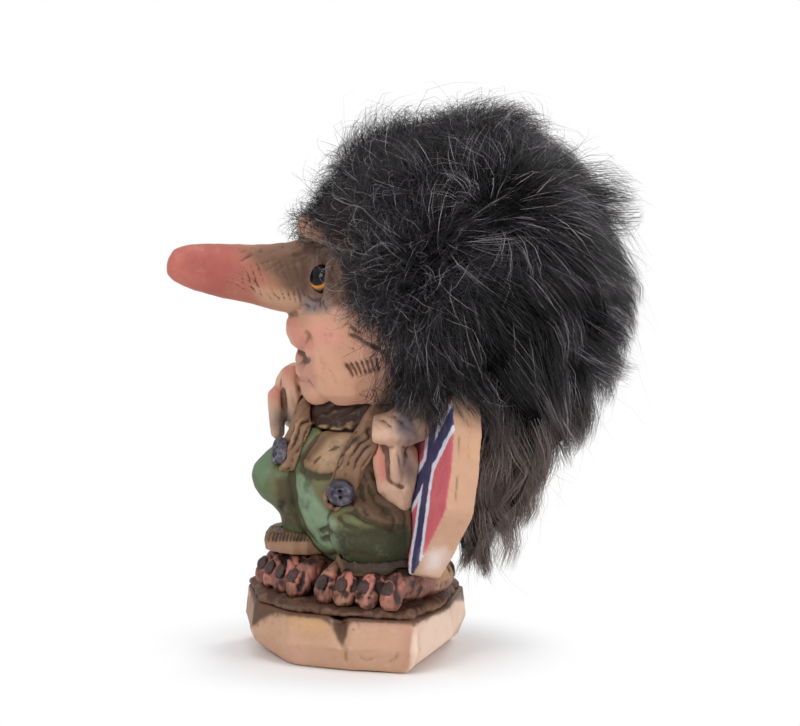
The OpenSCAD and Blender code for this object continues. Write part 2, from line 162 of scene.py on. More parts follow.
# %% White of the floor, which fades in around the block's shadow
pale = bpy.data.materials.new("pale_floor")
pale.use_nodes = True
floor.data.materials.append(pale)
pale_tree = pale.node_tree
matt = pale_tree.nodes["Principled BSDF"]
matt.inputs["Base Color"].default_value = (0.93, 0.93, 0.93, 1)
matt.inputs["Roughness"].default_value = 0.9
glow = pale_tree.nodes.new("ShaderNodeEmission")
reach = pale_tree.nodes.new("ShaderNodeVectorMath")
reach.operation = "LENGTH"
where = pale_tree.nodes.new("ShaderNodeTexCoord")
pale_tree.links.new(where.outputs["Object"], reach.inputs[0])
fade = pale_tree.nodes.new("ShaderNodeMapRange")
fade.interpolation_type = "SMOOTHSTEP"
fade.inputs["From Min"].default_value = FADE_START
fade.inputs["From Max"].default_value = FADE_END
pale_tree.links.new(reach.outputs["Value"], fade.inputs["Value"])
near_far = pale_tree.nodes.new("ShaderNodeMixShader")
pale_tree.links.new(fade.outputs[0], near_far.inputs[0])
pale_tree.links.new(matt.outputs[0], near_far.inputs[1])
pale_tree.links.new(glow.outputs[0], near_far.inputs[2])
pale_tree.links.new(white_for_the_camera(pale_tree, matt.outputs[0], near_far.outputs[0]),
                    pale_tree.nodes["Material Output"].inputs[0])


# %% Lamps
def lamp(name, where, size, power):
    """A soft rectangular lamp that points at the figure."""
    light = bpy.data.lights.new(name, "AREA")
    light.shape = "RECTANGLE"
    light.size, light.size_y = size
    light.energy = power
    obj = bpy.data.objects.new(name, light)
    scene.collection.objects.link(obj)
    obj.location = where
    aim = LAMP_AIM - Vector(where)
    obj.rotation_euler = aim.to_track_quat("-Z", "Y").to_euler()


lamp("key_lamp", (0.75, -0.75, 0.75), (0.5, 0.5), 5.0)
lamp("top_lamp", (0.1, 0.1, 1.15), (0.9, 0.9), 4.5)
lamp("side_lamp", (0.85, 0.8, 0.45), (0.6, 0.6), 5.5)
lamp("rim_lamp", (-0.7, 0.6, 0.6), (0.5, 0.5), 3.5)

# %% [markdown]
# ## Shader arithmetic
#
# A material is easier to read as a formula than as a web of nodes. `Wire` wraps one output, and its
# operators add Math nodes. `Coat` is one material, with one method that makes any node.


# %% Shader helpers
class Wire:
    """One output of a node, which adds Math nodes when it is added, subtracted or multiplied."""

    def __init__(self, coat, socket):
        self.coat, self.socket = coat, socket

    def sum_of(self, kind, *terms, clamp=False):
        return self.coat.node("ShaderNodeMath", {"operation": kind, "use_clamp": clamp},
                              {i: t for i, t in enumerate(terms)})

    def __add__(self, other):
        return self.sum_of("ADD", self, other)

    def __radd__(self, other):
        return self.sum_of("ADD", other, self)

    def __sub__(self, other):
        return self.sum_of("SUBTRACT", self, other)

    def __rsub__(self, other):
        return self.sum_of("SUBTRACT", other, self)

    def __mul__(self, other):
        return self.sum_of("MULTIPLY", self, other)

    def __rmul__(self, other):
        return self.sum_of("MULTIPLY", other, self)

    def clamp(self):
        return self.sum_of("ADD", self, 0.0, clamp=True)


class Coat:
    """One material, with its shader and the place that its patterns are read from."""

    def __init__(self, name):
        self.material = bpy.data.materials.new(name)
        self.material.use_nodes = True
        self.tree = self.material.node_tree
        self.shader = self.tree.nodes["Principled BSDF"]
        self.place = self.node("ShaderNodeTexCoord", output="Object")

    def node(self, kind, settings=None, sockets=None, output=0):
        """Makes any node, with its settings and what goes into its sockets, and gives one output."""
        made = self.tree.nodes.new(kind)
        for key, value in (settings or {}).items():
            if key == "stops":
                ramp = made.color_ramp
                while len(ramp.elements) < len(value):
                    ramp.elements.new(1.0)
                for element, (place, colour) in zip(ramp.elements, value):
                    element.position = place
                    element.color = (*colour, 1)
            else:
                setattr(made, key, value)
        for key, value in (sockets or {}).items():
            self.link(value, made.inputs[key])
        return Wire(self, made.outputs[output])

    def link(self, value, socket):
        if isinstance(value, Wire):
            self.tree.links.new(value.socket, socket)
        elif isinstance(value, tuple) and socket.type == "RGBA" and len(value) == 3:
            socket.default_value = (*value, 1)
        else:
            socket.default_value = value

    def set(self, **sockets):
        """Fills the shader's own sockets, by their names in small letters."""
        for key, value in sockets.items():
            self.link(value, self.shader.inputs[key.replace("_", " ").title().replace("Ior", "IOR")])
        return self.material

    def attribute(self, name, output="Fac"):
        return self.node("ShaderNodeAttribute", {"attribute_name": name}, output=output)

    def noise(self, scale, detail, rough):
        return self.node("ShaderNodeTexNoise", {}, {"Vector": self.place, "Scale": scale,
                                                    "Detail": detail, "Roughness": rough})

    def ramp(self, value, *stops):
        return self.node("ShaderNodeValToRGB", {"stops": stops}, {"Fac": value})

    def mask(self, value, start, end):
        return self.node("ShaderNodeMapRange", {"interpolation_type": "SMOOTHSTEP"},
                         {"Value": value, "From Min": start, "From Max": end})

    def mix(self, mask, first, second, blend="MIX"):
        return self.node("ShaderNodeMix", {"data_type": "RGBA", "blend_type": blend},
                         {0: mask, 6: first, 7: second}, output=2)

    def bump(self, height, strength, distance):
        return self.node("ShaderNodeBump", {}, {"Height": height, "Strength": strength,
                                                "Distance": distance})


def tint(r, g, b):
    """A colour given as it is seen, 0 to 255, turned into the linear values that shaders use."""
    return tuple(c / 255 / 12.92 if c < 10 else ((c / 255 + 0.055) / 1.055) ** 2.4 for c in (r, g, b))


# %% [markdown]
# ## Clay
#
# The casting was modelled by hand before it was poured: lumps pressed together, smoothed, and scored
# with a tool. The same steps work here. Copies of the CAD members are joined and remeshed into one
# even skin, smoothed, then scored and pushed. Paint is laid on in the same way, as a colour that every
# point of the skin carries, and dark wash gathers where the skin is hollow. In the broad hollows and
# where parts meet, that darkening is also painted shade.


# %% Noise
def lattice(p, seed=0):
    """Smooth noise between -1 and 1 at every row of p, with one lump per unit."""
    i = np.floor(p).astype(np.int64)
    f = p - i
    f = f * f * (3 - 2 * f)
    total = np.zeros(len(p))
    for corner in range(8):
        o = np.array([corner & 1, corner >> 1 & 1, corner >> 2 & 1])
        c = i + o
        h = c[:, 0] * 73856093 ^ c[:, 1] * 19349663 ^ c[:, 2] * 83492791 ^ (seed * 2654435761 + 12345)
        h = (h ^ (h >> 13)) * 1274126177 & 0x7FFFFFFF
        h = (h ^ (h >> 16)) & 0xFFFF
        w = np.prod(np.where(o, f, 1 - f), axis=1)
        total += w * (h / 32767.5 - 1)
    return total


def fractal(p, size, seed=0, layers=3):
    """Layers of noise whose largest lumps are about `size` mm across."""
    q = p / (size * MM)
    return sum(lattice(q * 2 ** k, seed + k) / 2 ** k for k in range(layers)) / (2 - 2 ** (1 - layers))


def smoothstep(x, a, b):
    """Rises from 0 at a to 1 at b, with soft ends."""
    t = np.clip((x - a) / (b - a), 0, 1)
    return t * t * (3 - 2 * t)


def near_line(points, line):
    """Distance of every point from a chain of points, and how far along the chain it is, 0 to 1."""
    best = np.full(len(points), 1e9)
    along = np.zeros(len(points))
    for k in range(len(line) - 1):
        a, d = line[k], line[k + 1] - line[k]
        t = np.clip((points - a) @ d / max(d @ d, 1e-18), 0, 1)
        gap = np.linalg.norm(points - a - t[:, None] * d, axis=1)
        closer = gap < best
        best[closer] = gap[closer]
        along[closer] = (k + t[closer]) / (len(line) - 1)
    return best, along


# %% Clay
class Clay:
    """A sculpted piece: a mesh with a paint colour and an amount of wash and painted shade at every point.
    """

    def __init__(self, name, members, voxel, smooth, colour, lumps=()):
        deselect()
        copies = []
        for member in members:
            copy = bpy.data.objects.new(member + "_copy", nodes[member].data.copy())
            scene.collection.objects.link(copy)
            copies.append(copy)
        for spot, size in lumps:
            bpy.ops.mesh.primitive_uv_sphere_add(segments=32, ring_count=16, radius=MM,
                                                 location=Vector(spot) * MM)
            ball = bpy.context.object
            ball.scale = size
            bpy.ops.object.transform_apply(location=True, rotation=True, scale=True)
            copies.append(ball)
        deselect()
        for copy in copies:
            copy.select_set(True)
        bpy.context.view_layer.objects.active = copies[0]
        if len(copies) > 1:
            bpy.ops.object.join()
        self.obj = bpy.context.view_layer.objects.active
        self.obj.name = name
        self.obj.data.materials.clear()
        bpy.ops.object.mode_set(mode="EDIT")
        bpy.ops.mesh.select_all(action="SELECT")
        bpy.ops.mesh.remove_doubles(threshold=1e-6)
        bpy.ops.object.mode_set(mode="OBJECT")
        for kind, settings in (("REMESH", {"mode": "VOXEL", "voxel_size": voxel * MM}),
                               ("SMOOTH", {"factor": 0.5, "iterations": smooth})):
            modifier = self.obj.modifiers.new(kind.lower(), kind)
            for key, value in settings.items():
                setattr(modifier, key, value)
            bpy.ops.object.modifier_apply(modifier=modifier.name)
        self.drop_bubbles()
        self.read()
        self.stain = np.zeros(len(self.co))
        self.paint = np.tile(np.array(colour, float), (len(self.co), 1))

    def drop_bubbles(self):
        """Keeps only the largest closed skin, without the bubbles that the remesh leaves inside."""
        mesh = self.obj.data
        edges = np.empty(len(mesh.edges) * 2, np.int32)
        mesh.edges.foreach_get("vertices", edges)
        edges = edges.reshape(-1, 2)
        tag = np.arange(len(mesh.vertices))
        while True:
            lowest = np.minimum(tag[edges[:, 0]], tag[edges[:, 1]])
            new = tag.copy()
            np.minimum.at(new, edges[:, 0], lowest)
            np.minimum.at(new, edges[:, 1], lowest)
            new = new[new]
            if (new == tag).all():
                break
            tag = new
        names, sizes = np.unique(tag, return_counts=True)
        if len(names) > 1:
            small = np.isin(tag, names[sizes < 0.08 * sizes.max()])
            mesh.vertices.foreach_set("select", small)
            mesh.edges.foreach_set("select", small[edges].all(axis=1))
            faces = np.empty(len(mesh.loops), np.int32)
            mesh.loops.foreach_get("vertex_index", faces)
            starts = np.empty(len(mesh.polygons), np.int32)
            mesh.polygons.foreach_get("loop_start", starts)
            mesh.polygons.foreach_set("select", small[faces[starts]])
            bpy.ops.object.mode_set(mode="EDIT")
            bpy.ops.mesh.delete(type="VERT")
            bpy.ops.object.mode_set(mode="OBJECT")

    def read(self):
        """Reads the points and edges of the mesh."""
        mesh = self.obj.data
        self.co = np.empty(len(mesh.vertices) * 3)
        mesh.vertices.foreach_get("co", self.co)
        self.co = self.co.reshape(-1, 3)
        self.edges = np.empty(len(mesh.edges) * 2, np.int32)
        mesh.edges.foreach_get("vertices", self.edges)
        self.edges = self.edges.reshape(-1, 2)
        self.settle()

    def settle(self):
        """Writes the points back, and reads the normals and the surface that the strokes land on."""
        mesh = self.obj.data
        mesh.vertices.foreach_set("co", self.co.ravel())
        mesh.update()
        self.normal = np.empty(len(mesh.vertices) * 3)
        mesh.vertex_normals.foreach_get("vector", self.normal)
        self.normal = self.normal.reshape(-1, 3)
        self.surface = BVHTree.FromObject(self.obj, bpy.context.evaluated_depsgraph_get())

    def blurred(self, values, times):
        """Every value becomes the mean of its neighbours', `times` over."""
        flat = values.reshape(len(values), -1).astype(float)
        a, b = self.edges.T
        count = np.bincount(a, minlength=len(flat)) + np.bincount(b, minlength=len(flat))
        for _ in range(times):
            mean = np.empty_like(flat)
            for c in range(flat.shape[1]):
                mean[:, c] = np.bincount(a, flat[b, c], len(flat)) + np.bincount(b, flat[a, c], len(flat))
            flat = 0.5 * flat + 0.5 * mean / count[:, None]
        return flat.reshape(values.shape)

    def seen(self, line):
        """Points of the picture, brought to the surface along the lines of sight."""
        hits = []
        for px, py in line:
            start, way = sight(px, py)
            hit = self.surface.ray_cast(start, way)[0]
            if hit is not None:
                hits.append(np.array(hit))
        return hits

    def lines(self, line, both=False):
        """A line of the picture on the skin, and its mirror image too if both are asked for."""
        hits = self.seen(line)
        if len(hits) == 1:
            hits = hits * 2
        if len(hits) < 2:
            return []
        sides = [hits]
        if both:
            mirrored = [self.surface.find_nearest(Vector(p * (-1, 1, 1)))[0] for p in hits]
            sides.append([np.array(p) for p in mirrored])
        return sides

    def stroke(self, line, width, depth, stain=0.6, taper=True, both=False):
        """A tool drawn along a line: depth in mm, into the clay, or a ridge where it is negative."""
        for hits in self.lines(line, both):
            box_low = np.min(hits, axis=0) - 3 * width * MM
            box_high = np.max(hits, axis=0) + 3 * width * MM
            near = np.where(((self.co > box_low) & (self.co < box_high)).all(axis=1))[0]
            gap, along = near_line(self.co[near], hits)
            gap = gap + 0.35 * width * MM * fractal(self.co[near], 2.5, 71)
            ends = np.clip(4 * np.minimum(along, 1 - along) + 0.35, 0, 1) if taper else 1
            profile = np.exp(-(gap / (width * MM)) ** 2) * ends
            self.co[near] -= self.normal[near] * (profile * depth * MM)[:, None]
            broken = np.clip(0.75 + 0.6 * fractal(self.co[near], 2, 73), 0.1, 1)
            wide = np.exp(-(gap / (1.05 * width * MM)) ** 2) * ends * broken
            self.stain[near] = np.maximum(self.stain[near], wide * stain)

    def brush(self, line, width, colour, amount=1.0, ragged=0.35):
        """Paint laid along a line, with soft and slightly ragged edges."""
        for hits in self.lines(line):
            reach = 2.2 * width * MM
            near = np.where(((self.co > np.min(hits, axis=0) - reach) &
                             (self.co < np.max(hits, axis=0) + reach)).all(axis=1))[0]
            gap, _ = near_line(self.co[near], hits)
            frayed = 1 + ragged * fractal(self.co[near], max(1.5, width * 0.7), 3)
            cover = amount * np.exp(-(gap * frayed / (width * MM)) ** 2)
            self.paint[near] += (np.array(colour) - self.paint[near]) * np.clip(cover, 0, 1)[:, None]

    def inside(self, outline, soft, both, ragged=1.5, seed=5):
        """How far within an outline of the picture each point is, 0 to 1, on the skin that faces it."""
        best = np.zeros(len(self.co))
        for flip in ((1, 1, 1), (-1, 1, 1))[:2 if both else 1]:
            px, py = as_seen(self.co * flip)
            spots = np.stack([px, py], 1) + ragged * np.stack([fractal(self.co, 4, seed),
                                                               fractal(self.co, 4, seed + 9)], 1)
            loop = [np.array(q, float) for q in outline] + [np.array(outline[0], float)]
            gap, _ = near_line(spots, loop)
            hit = np.zeros(len(spots), bool)
            for (x0, y0), (x1, y1) in zip(loop[:-1], loop[1:]):
                if y0 != y1:
                    spans = (y0 > spots[:, 1]) != (y1 > spots[:, 1])
                    hit ^= spans & (spots[:, 0] < (x1 - x0) * (spots[:, 1] - y0) / (y1 - y0) + x0)
            facing = np.clip((self.normal * flip) @ np.array(TOWARDS) * 5, 0, 1)
            best = np.maximum(best, np.clip(0.5 + np.where(hit, gap, -gap) / (2 * soft), 0, 1) * facing)
        return best

    def patch(self, outline, colour, amount=1.0, soft=2.5, both=False, seed=5):
        """Paint laid inside an outline of the picture."""
        self.cover(amount * self.inside(outline, soft, both, seed=seed), colour)

    def wrinkles(self, outline, angle, spacing, depth, stain, both=False, seed=7):
        """Wavy folds inside an outline of the picture. They run at `angle` degrees, clockwise."""
        within = self.inside(outline, 4, both, 2.0, seed)
        one_side = self.co * np.where(self.co[:, :1] < 0, [[-1, 1, 1]], [[1, 1, 1]]) if both else self.co
        px, py = as_seen(one_side)
        turn_by = math.radians(angle)
        across = py * math.cos(turn_by) - px * math.sin(turn_by)
        across += spacing * (0.9 * fractal(self.co, 7, seed) + 0.35 * fractal(self.co, 2.5, seed + 1))
        fold = 0.5 + 0.5 * np.cos(2 * math.pi * across / spacing)
        within = within * np.clip(0.6 + 1.1 * fractal(self.co, 4, seed + 2), 0, 1)
        self.co -= self.normal * (depth * MM * fold ** 3 * within)[:, None]
        self.stain = np.maximum(self.stain, stain * fold ** 7 * within)

    def hew(self, start, end):
        """A flat cut along a line of the picture: what lies to its right, looking along it, goes."""
        px, py = as_seen(self.co)
        way = np.array(end, float) - start
        way /= np.linalg.norm(way)
        beyond = np.clip((py - start[1]) * way[0] - (px - start[0]) * way[1], 0, None)
        shift = -way[1] * np.array(RIGHT) - way[0] * np.array(UP)
        self.co -= beyond[:, None] * shift * PICTURE_MM * MM

    def cover(self, mask, colour):
        """Paint laid wherever the mask is, 0 to 1."""
        self.paint += (np.array(colour) - self.paint) * np.clip(mask, 0, 1)[:, None]

    def blotch(self, amount, size, seed, colour, contrast=2, less=0, where=1):
        """Paint laid in cloudy blotches of about `size` mm."""
        self.cover(amount * np.clip(fractal(self.co, size, seed) * contrast - less, 0, 1) * where, colour)

    def uneven(self, height, size, seed):
        """Pushes the skin in and out by about `height` mm, in lumps of about `size` mm."""
        self.co += self.normal * (height * fractal(self.co, size, seed) * MM)[:, None]

    def hollows(self, reach, full):
        """How hollow the skin is, 0 to 1: how far it lies under its own blurred shape."""
        sunk = ((self.blurred(self.co, reach) - self.co) * self.normal).sum(axis=1)
        return sunk / (full * MM)

    def finish(self, slot, coat, *replaced, fine=14, broad=50, wash=1.0, grime=0.3):
        self.settle()
        # The fine hollows hold the wash in the scores. The broad ones darken larger recesses and the places
        # where parts meet, which is painted shade.
        hollow = np.clip(self.blurred(self.hollows(fine, 0.22), 3) - 0.1, 0, 1) * 0.7
        hollow += np.clip(self.hollows(broad, 0.6), 0, 1)
        worn = np.clip(self.blurred(-self.hollows(fine, 0.30), 3) - 0.25, 0, 1)
        dirt = np.clip(0.9 * fractal(self.co, 7, 77) + 0.7 * fractal(self.co, 2.4, 78), 0, 1)
        self.stain = np.clip(self.stain + wash * hollow + grime * dirt, 0, 1)
        worn *= 1 - self.stain
        mesh = self.obj.data
        rgba = np.ones((len(self.co), 4))
        rgba[:, :3] = self.paint
        mesh.attributes.new("paint", "FLOAT_COLOR", "POINT").data.foreach_set("color", rgba.ravel())
        mesh.attributes.new("stain", "FLOAT", "POINT").data.foreach_set("value", self.stain)
        mesh.attributes.new("worn", "FLOAT", "POINT").data.foreach_set("value", worn)
        mesh.polygons.foreach_set("use_smooth", np.ones(len(mesh.polygons), bool))
        mesh.materials.append(coat)
        mesh.update()
        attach(self.obj, "root")
        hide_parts(*replaced)
        print(f"{self.obj.name}: {len(mesh.polygons) * 2} triangles")


# %% [markdown]
# ## Painted casting
#
# The casting is painted in thin flat colours, then a brown-black wash is flooded over it and wiped, so
# it stays in the scores and hollows, and the raised places are left pale. In the broad hollows and where
# parts meet, the same darkening is painted shade. One recipe makes all these finishes: the laid paint,
# a fine mottle, the wash with broken edges, and the wiped edges.


# %% Paint recipe
def casting_coat(name, wash_colour, wash_strength=0.9, rough=0.62, worn_colour=None, grain=0.18,
                 speckle=0.25):
    """Laid paint, its mottle, the wash in the hollows with painted shade in the broad ones, specks of wash,
    and paint worn pale on the edges.
    """
    coat = Coat(name)
    laid = coat.attribute("paint", "Color")
    blotch = coat.noise(260, 5, 0.6)
    fine = coat.noise(1500, 3, 0.6)
    mottle = (blotch - 0.5) * 0.55 + (fine - 0.5) * 0.25
    tone = coat.mix(coat.mask(mottle, 0.0, 0.3), laid, coat.mix(1.0, laid, (0.80, 0.72, 0.66), "MULTIPLY"))
    tone = coat.mix(coat.mask(0 - mottle, 0.02, 0.3), tone, coat.mix(0.16, tone, (0.95, 0.86, 0.78)))
    # The stain attribute sets where the wash colour goes: real wash and dirt, and painted shade in the broad
    # hollows.
    pool = coat.attribute("stain") + (coat.noise(700, 4, 0.65) - 0.5) * 0.55
    tone = coat.mix(coat.mask(pool, 0.12, 0.8) * wash_strength, tone, wash_colour)
    specks = coat.mask(coat.noise(2600, 2, 0.5), 0.68, 0.78) * speckle
    tone = coat.mix(specks, tone, wash_colour)
    if worn_colour:
        tone = coat.mix(coat.mask(coat.attribute("worn") + mottle * 0.6, 0.25, 0.9) * 0.6, tone, worn_colour)
    height = fine * 0.4 + blotch * 0.6
    return coat.set(base_color=tone, roughness=(rough + 0.12 * (blotch - 0.5)).clamp(),
                    specular_ior_level=0.3, normal=coat.bump(height, grain, 0.0004))


skin_coat = casting_coat("painted_skin", tint(84, 56, 42), 0.85, 0.55)
foot_coat = casting_coat("painted_feet", tint(40, 25, 22), 0.95, 0.5, tint(198, 126, 112), 0.35)
green_coat = casting_coat("green_wash_trousers", tint(62, 54, 36), 0.85, 0.6, tint(126, 134, 92))
strap_coat = casting_coat("brown_wash_straps", tint(52, 36, 28), 0.9, 0.55, tint(196, 160, 120))
block_coat = casting_coat("pale_cut_block", tint(104, 72, 52), 0.6, 0.6, tint(236, 212, 190), 0.3, 0.12)
earth_coat = casting_coat("dark_earth", tint(36, 25, 21), 0.9, 0.65, tint(124, 92, 72), 0.6)

# %% [markdown]
# ## The cut block
#
# The figure stands on a block that looks as if it was hewn with a knife: a few broad flat cuts, their
# edges softened by the paint. The CAD solid has most of those cuts, and two more are hewn here. A light
# smoothing keeps them, and scores and a dark crack make them hand-made.
#
# Names in capitals that hold pairs of numbers are places in the picture, as a modeller would pencil
# them on it: a line to score along, or an outline to paint inside.

# %% Lines of the picture on the block
LOWER_RIGHT_CUT = (404, 674), (474, 620)
LOWER_LEFT_CUT = (238, 626), (296, 668)
LEFT_FACE_SCOOP = [(262, 643), (282, 637), (305, 640), (330, 637), (341, 640)]
CORNER_RIDGE = [(412, 604), (415, 620), (412, 640), (413, 655), (408, 668)]
NOTCH = [(338, 606), (340, 618), (339, 628), (342, 640)]
CRACK = [(341, 640), (345, 650), (346, 664)]
SCRATCHES = 9
RIGHT_SCRATCH = [(352, 612), (372, 609), (398, 607)]
LEFT_SCRATCH = [(268, 618), (290, 620), (325, 619)]
CORNER_NICK = [(398, 650), (396, 658), (386, 664)]
FACE_NICK = [(357, 655), (366, 662), (376, 657)]
LIT_RIGHT_FACE = [(414, 598), (468, 598), (466, 626), (425, 662), (411, 668)]
TOP_EDGES = ([(243, 617), (262, 614), (285, 609)], [(285, 609), (312, 614), (345, 618)],
             [(345, 618), (366, 611), (385, 608)], [(385, 608), (412, 607), (440, 603), (467, 601)])
CORNER_SHADE = [(412, 606), (409, 630), (410, 660)]
OCHRE_SPOT = [(300, 618), (320, 622)]
SOIL = [(236, 596), (472, 588), (470, 600), (438, 602), (413, 606), (385, 608), (366, 613), (353, 620),
        (347, 632), (343, 646), (338, 640), (332, 627), (318, 615), (300, 609), (285, 610), (268, 615),
        (256, 624), (240, 632)]


def moved(line, *moves):
    """The line with each of its points moved by its own step."""
    return [(x + right, y + down) for (x, y), (right, down) in zip(line, moves)]


# %% Cut block
block = Clay("carved_block", ["base_block"], 0.62, 3, tint(194, 154, 126))
block.hew(*LOWER_RIGHT_CUT)
block.hew(*LOWER_LEFT_CUT)
block.settle()
block.uneven(0.35, 14, 1)
block.settle()
block.stroke(LEFT_FACE_SCOOP, 1.6, 0.5, 0.1)
block.stroke(CORNER_RIDGE, 1.4, -0.6, 0.05)
block.stroke(NOTCH, 1.6, 2.0, 1.0)
block.stroke(CRACK, 0.7, 0.5, 0.5)
for k in range(SCRATCHES):
    block.stroke(moved(RIGHT_SCRATCH, (0, 6 * k), (0, 6 * k + k % 3), (0, 6 * k - k % 2)), 0.5, 0.16, 0.12)
    block.stroke(moved(LEFT_SCRATCH, (0, 4 * k), (0, 5 * k), (0, 4 * k)), 0.6, 0.12, 0.08)
block.stroke(CORNER_NICK, 0.5, 0.35, 0.4)
block.stroke(FACE_NICK, 0.5, 0.3, 0.3)
block.blotch(0.45, 18, 5, tint(214, 168, 148))
block.blotch(0.4, 11, 9, tint(188, 146, 108), less=0.2)
height_mm = block.co[:, 2] / MM
rim = np.clip((height_mm - 13.4 + 1.2 * fractal(block.co, 4, 2)) / 1.5, 0, 1)
block.stain = np.maximum(block.stain, 0.85 * rim)
# Painted highlight: the block's right-hand face is painted paler, as if lit by the lamp on that side.
block.patch(LIT_RIGHT_FACE, tint(232, 204, 184), 0.9, 3)
for edge in TOP_EDGES:
    block.brush(edge, 1.6, tint(122, 84, 60), 0.9, ragged=1.2)
block.brush(CORNER_SHADE, 3.0, tint(192, 142, 122), 0.7)
block.brush(OCHRE_SPOT, 4.5, tint(200, 156, 112), 0.8)
soil = np.clip((height_mm - 12.9 + 1.6 * fractal(block.co, 5, 2)) / 0.9, 0, 1)
soil *= np.clip(block.normal[:, 2] * 4 - 0.4, 0, 1)
block.cover(soil, tint(80, 56, 43))
block.stain = np.maximum(block.stain, 0.7 * soil)
block.patch(SOIL, tint(86, 60, 46), 0.95, 1.6)
block.finish("cut_block", block_coat, "base_block", wash=0.35, grime=0.12)

# %% [markdown]
# ## Dark earth
#
# A crumbling crust of dark earth lies between the feet and the block. Folded noise gives it crumbs, and
# its rim is pushed out unevenly, so it breaks the block's straight edges.

# %% Dark earth under the feet
earth = Clay("dark_earth_crust", ["ground_crust"], 0.55, 4, tint(70, 44, 32))
crumbs = 0.55 * fractal(earth.co, 5, 4) + 0.8 * np.abs(fractal(earth.co, 2.2, 7)) - 0.1
earth.co += earth.normal * (crumbs * MM)[:, None]
spread = 0.4 + 1.3 * fractal(earth.co, 7, 17)
earth.co[:, :2] += earth.normal[:, :2] * (spread * MM)[:, None]
earth.blotch(0.7, 3, 11, tint(98, 68, 52), 2.2)
earth.blotch(0.6, 6, 13, tint(134, 98, 72), less=0.3)
earth.finish("dark_ground", earth_coat, "ground_crust", wash=0.9)

# %% [markdown]
# ## Feet
#
# The bare feet are broad, with knobbly toes and dark nails. The gaps between the toes are dug out and
# washed nearly black, small pits are left between ridges of skin, and the toes are brushed pink on top.

# %% Lines of the picture on the feet
TOE_GAPS = (((262, 552), (272, 578)), ((284, 550), (281, 580)), ((303, 556), (301, 590)),
            ((321, 566), (322, 596)), ((342, 570), (341, 600)), ((358, 572), (358, 602)),
            ((376, 574), (378, 603)), ((394, 576), (396, 602)))
TOES = (250, 572), (268, 570), (290, 566), (311, 574), (330, 580), (349, 578), (367, 582), (386, 584)
FAR_TOES = [(244, 542), (325, 545), (330, 602), (244, 600)]
NEAR_TOES = [(322, 558), (404, 564), (404, 606), (322, 606)]
FAR_INSTEP = [(262, 548), (300, 546), (330, 552)]
FAR_OUTER_EDGE = [(246, 560), (244, 600)]
NEAR_HEEL = [(444, 566), (462, 560), (466, 590)]
HEEL_TOP = [(458, 548), (464, 556)]
HEEL_CREASE = [(452, 566), (454, 580), (450, 592)]
SHADOW_UNDER_THE_CUFF = [(320, 546), (404, 554), (406, 572), (384, 570), (350, 566), (322, 562)]

# %% Feet and toenails
feet = Clay("bare_feet", ["right_foot", "left_foot"], 0.45, 6, tint(126, 80, 66))
gnarl = 0.5 * fractal(feet.co, 5, 2) + 0.15 - 0.5 * np.abs(fractal(feet.co, 3.0, 5))
feet.co += feet.normal * (gnarl * MM)[:, None]
pits = np.abs(fractal(feet.co, 3.0, 5))
feet.stain = np.clip(3.0 * pits - 0.4, 0, 1) * np.clip(0.6 + fractal(feet.co, 6, 6), 0, 1)
feet.settle()
for (x0, y0), (x1, y1) in TOE_GAPS:
    feet.stroke([(x0, y0), ((x0 + x1) / 2 + 2, (y0 + y1) / 2), (x1, y1)], 0.9, 0.8, 0.9)
for px, py in TOES:
    feet.brush([(px - 3, py + 4), (px + 3, py - 2)], 2.6, tint(202, 126, 112), 0.8, ragged=0.9)
    feet.brush([(px + 2, py + 12), (px - 1, py + 18)], 1.6, tint(176, 118, 100), 0.8, ragged=0.9)
feet.wrinkles(FAR_TOES, 66, 8, 0.6, 0.6, seed=63)
feet.wrinkles(NEAR_TOES, 112, 8, 0.6, 0.6, seed=67)
feet.blotch(0.8, 7, 29, tint(168, 124, 96), 2.5, 0.1)
for line, width, colour, amount in ((FAR_INSTEP, 4.0, (176, 136, 104), 0.8),
                                    (FAR_OUTER_EDGE, 2.5, (186, 134, 112), 0.7),
                                    (NEAR_HEEL, 5.0, (196, 160, 122), 0.95),
                                    (HEEL_TOP, 2.2, (150, 160, 100), 0.8)):
    feet.brush(line, width, tint(*colour), amount)
# Painted shadow: the feet are darkened where the cuffs hang over them.
feet.patch(SHADOW_UNDER_THE_CUFF, tint(50, 35, 30), 0.85, 3)
feet.stroke(HEEL_CREASE, 0.8, 0.9, 1.0)
feet.finish("weathered_skin", foot_coat, "right_foot", "left_foot", wash=1.3, grime=0.8)

nails = Clay("toe_nails", ["right_toenails", "left_toenails"], 0.22, 2, tint(70, 50, 46))
nails.uneven(0.25, 1.4, 3)
nails.finish("toenail", foot_coat, "right_toenails", "left_toenails", wash=0.6, grime=1.0)

# %% [markdown]
# ## Trousers, cuffs and shirt
#
# The trousers are one fat green bag, brushed thinly so that ochre and grey-blue show through, with
# brown wash at the waist and behind the knees. The cuffs are scored in short upright ribs.

# %% Lines of the picture on the trousers
TROUSER_FOLDS = ([(293, 456), (291, 480), (296, 505), (306, 530), (322, 548)],
                 [(285, 500), (281, 512), (279, 522)], [(318, 532), (324, 530), (332, 533)],
                 [(320, 540), (330, 538)], [(330, 556), (350, 553), (372, 556)],
                 [(360, 455), (372, 442), (380, 436)], [(345, 540), (366, 536), (390, 540)])
LIT_BELLY = [(293, 478), (304, 472), (318, 500), (334, 520), (344, 548), (322, 548), (304, 522)]
LIT_FAR_KNEE = [(254, 452), (266, 440), (276, 440), (272, 470), (262, 486), (252, 470)]
SHADOW_UNDER_BELLY = [(330, 530), (410, 520), (412, 566), (350, 566), (338, 552)]
BETWEEN_LEGS = [(276, 478), (290, 476), (296, 512), (306, 530), (284, 524), (278, 506)]
NEAR_SIDE = [(346, 462), (380, 436), (412, 440), (414, 530), (380, 526), (350, 512)]
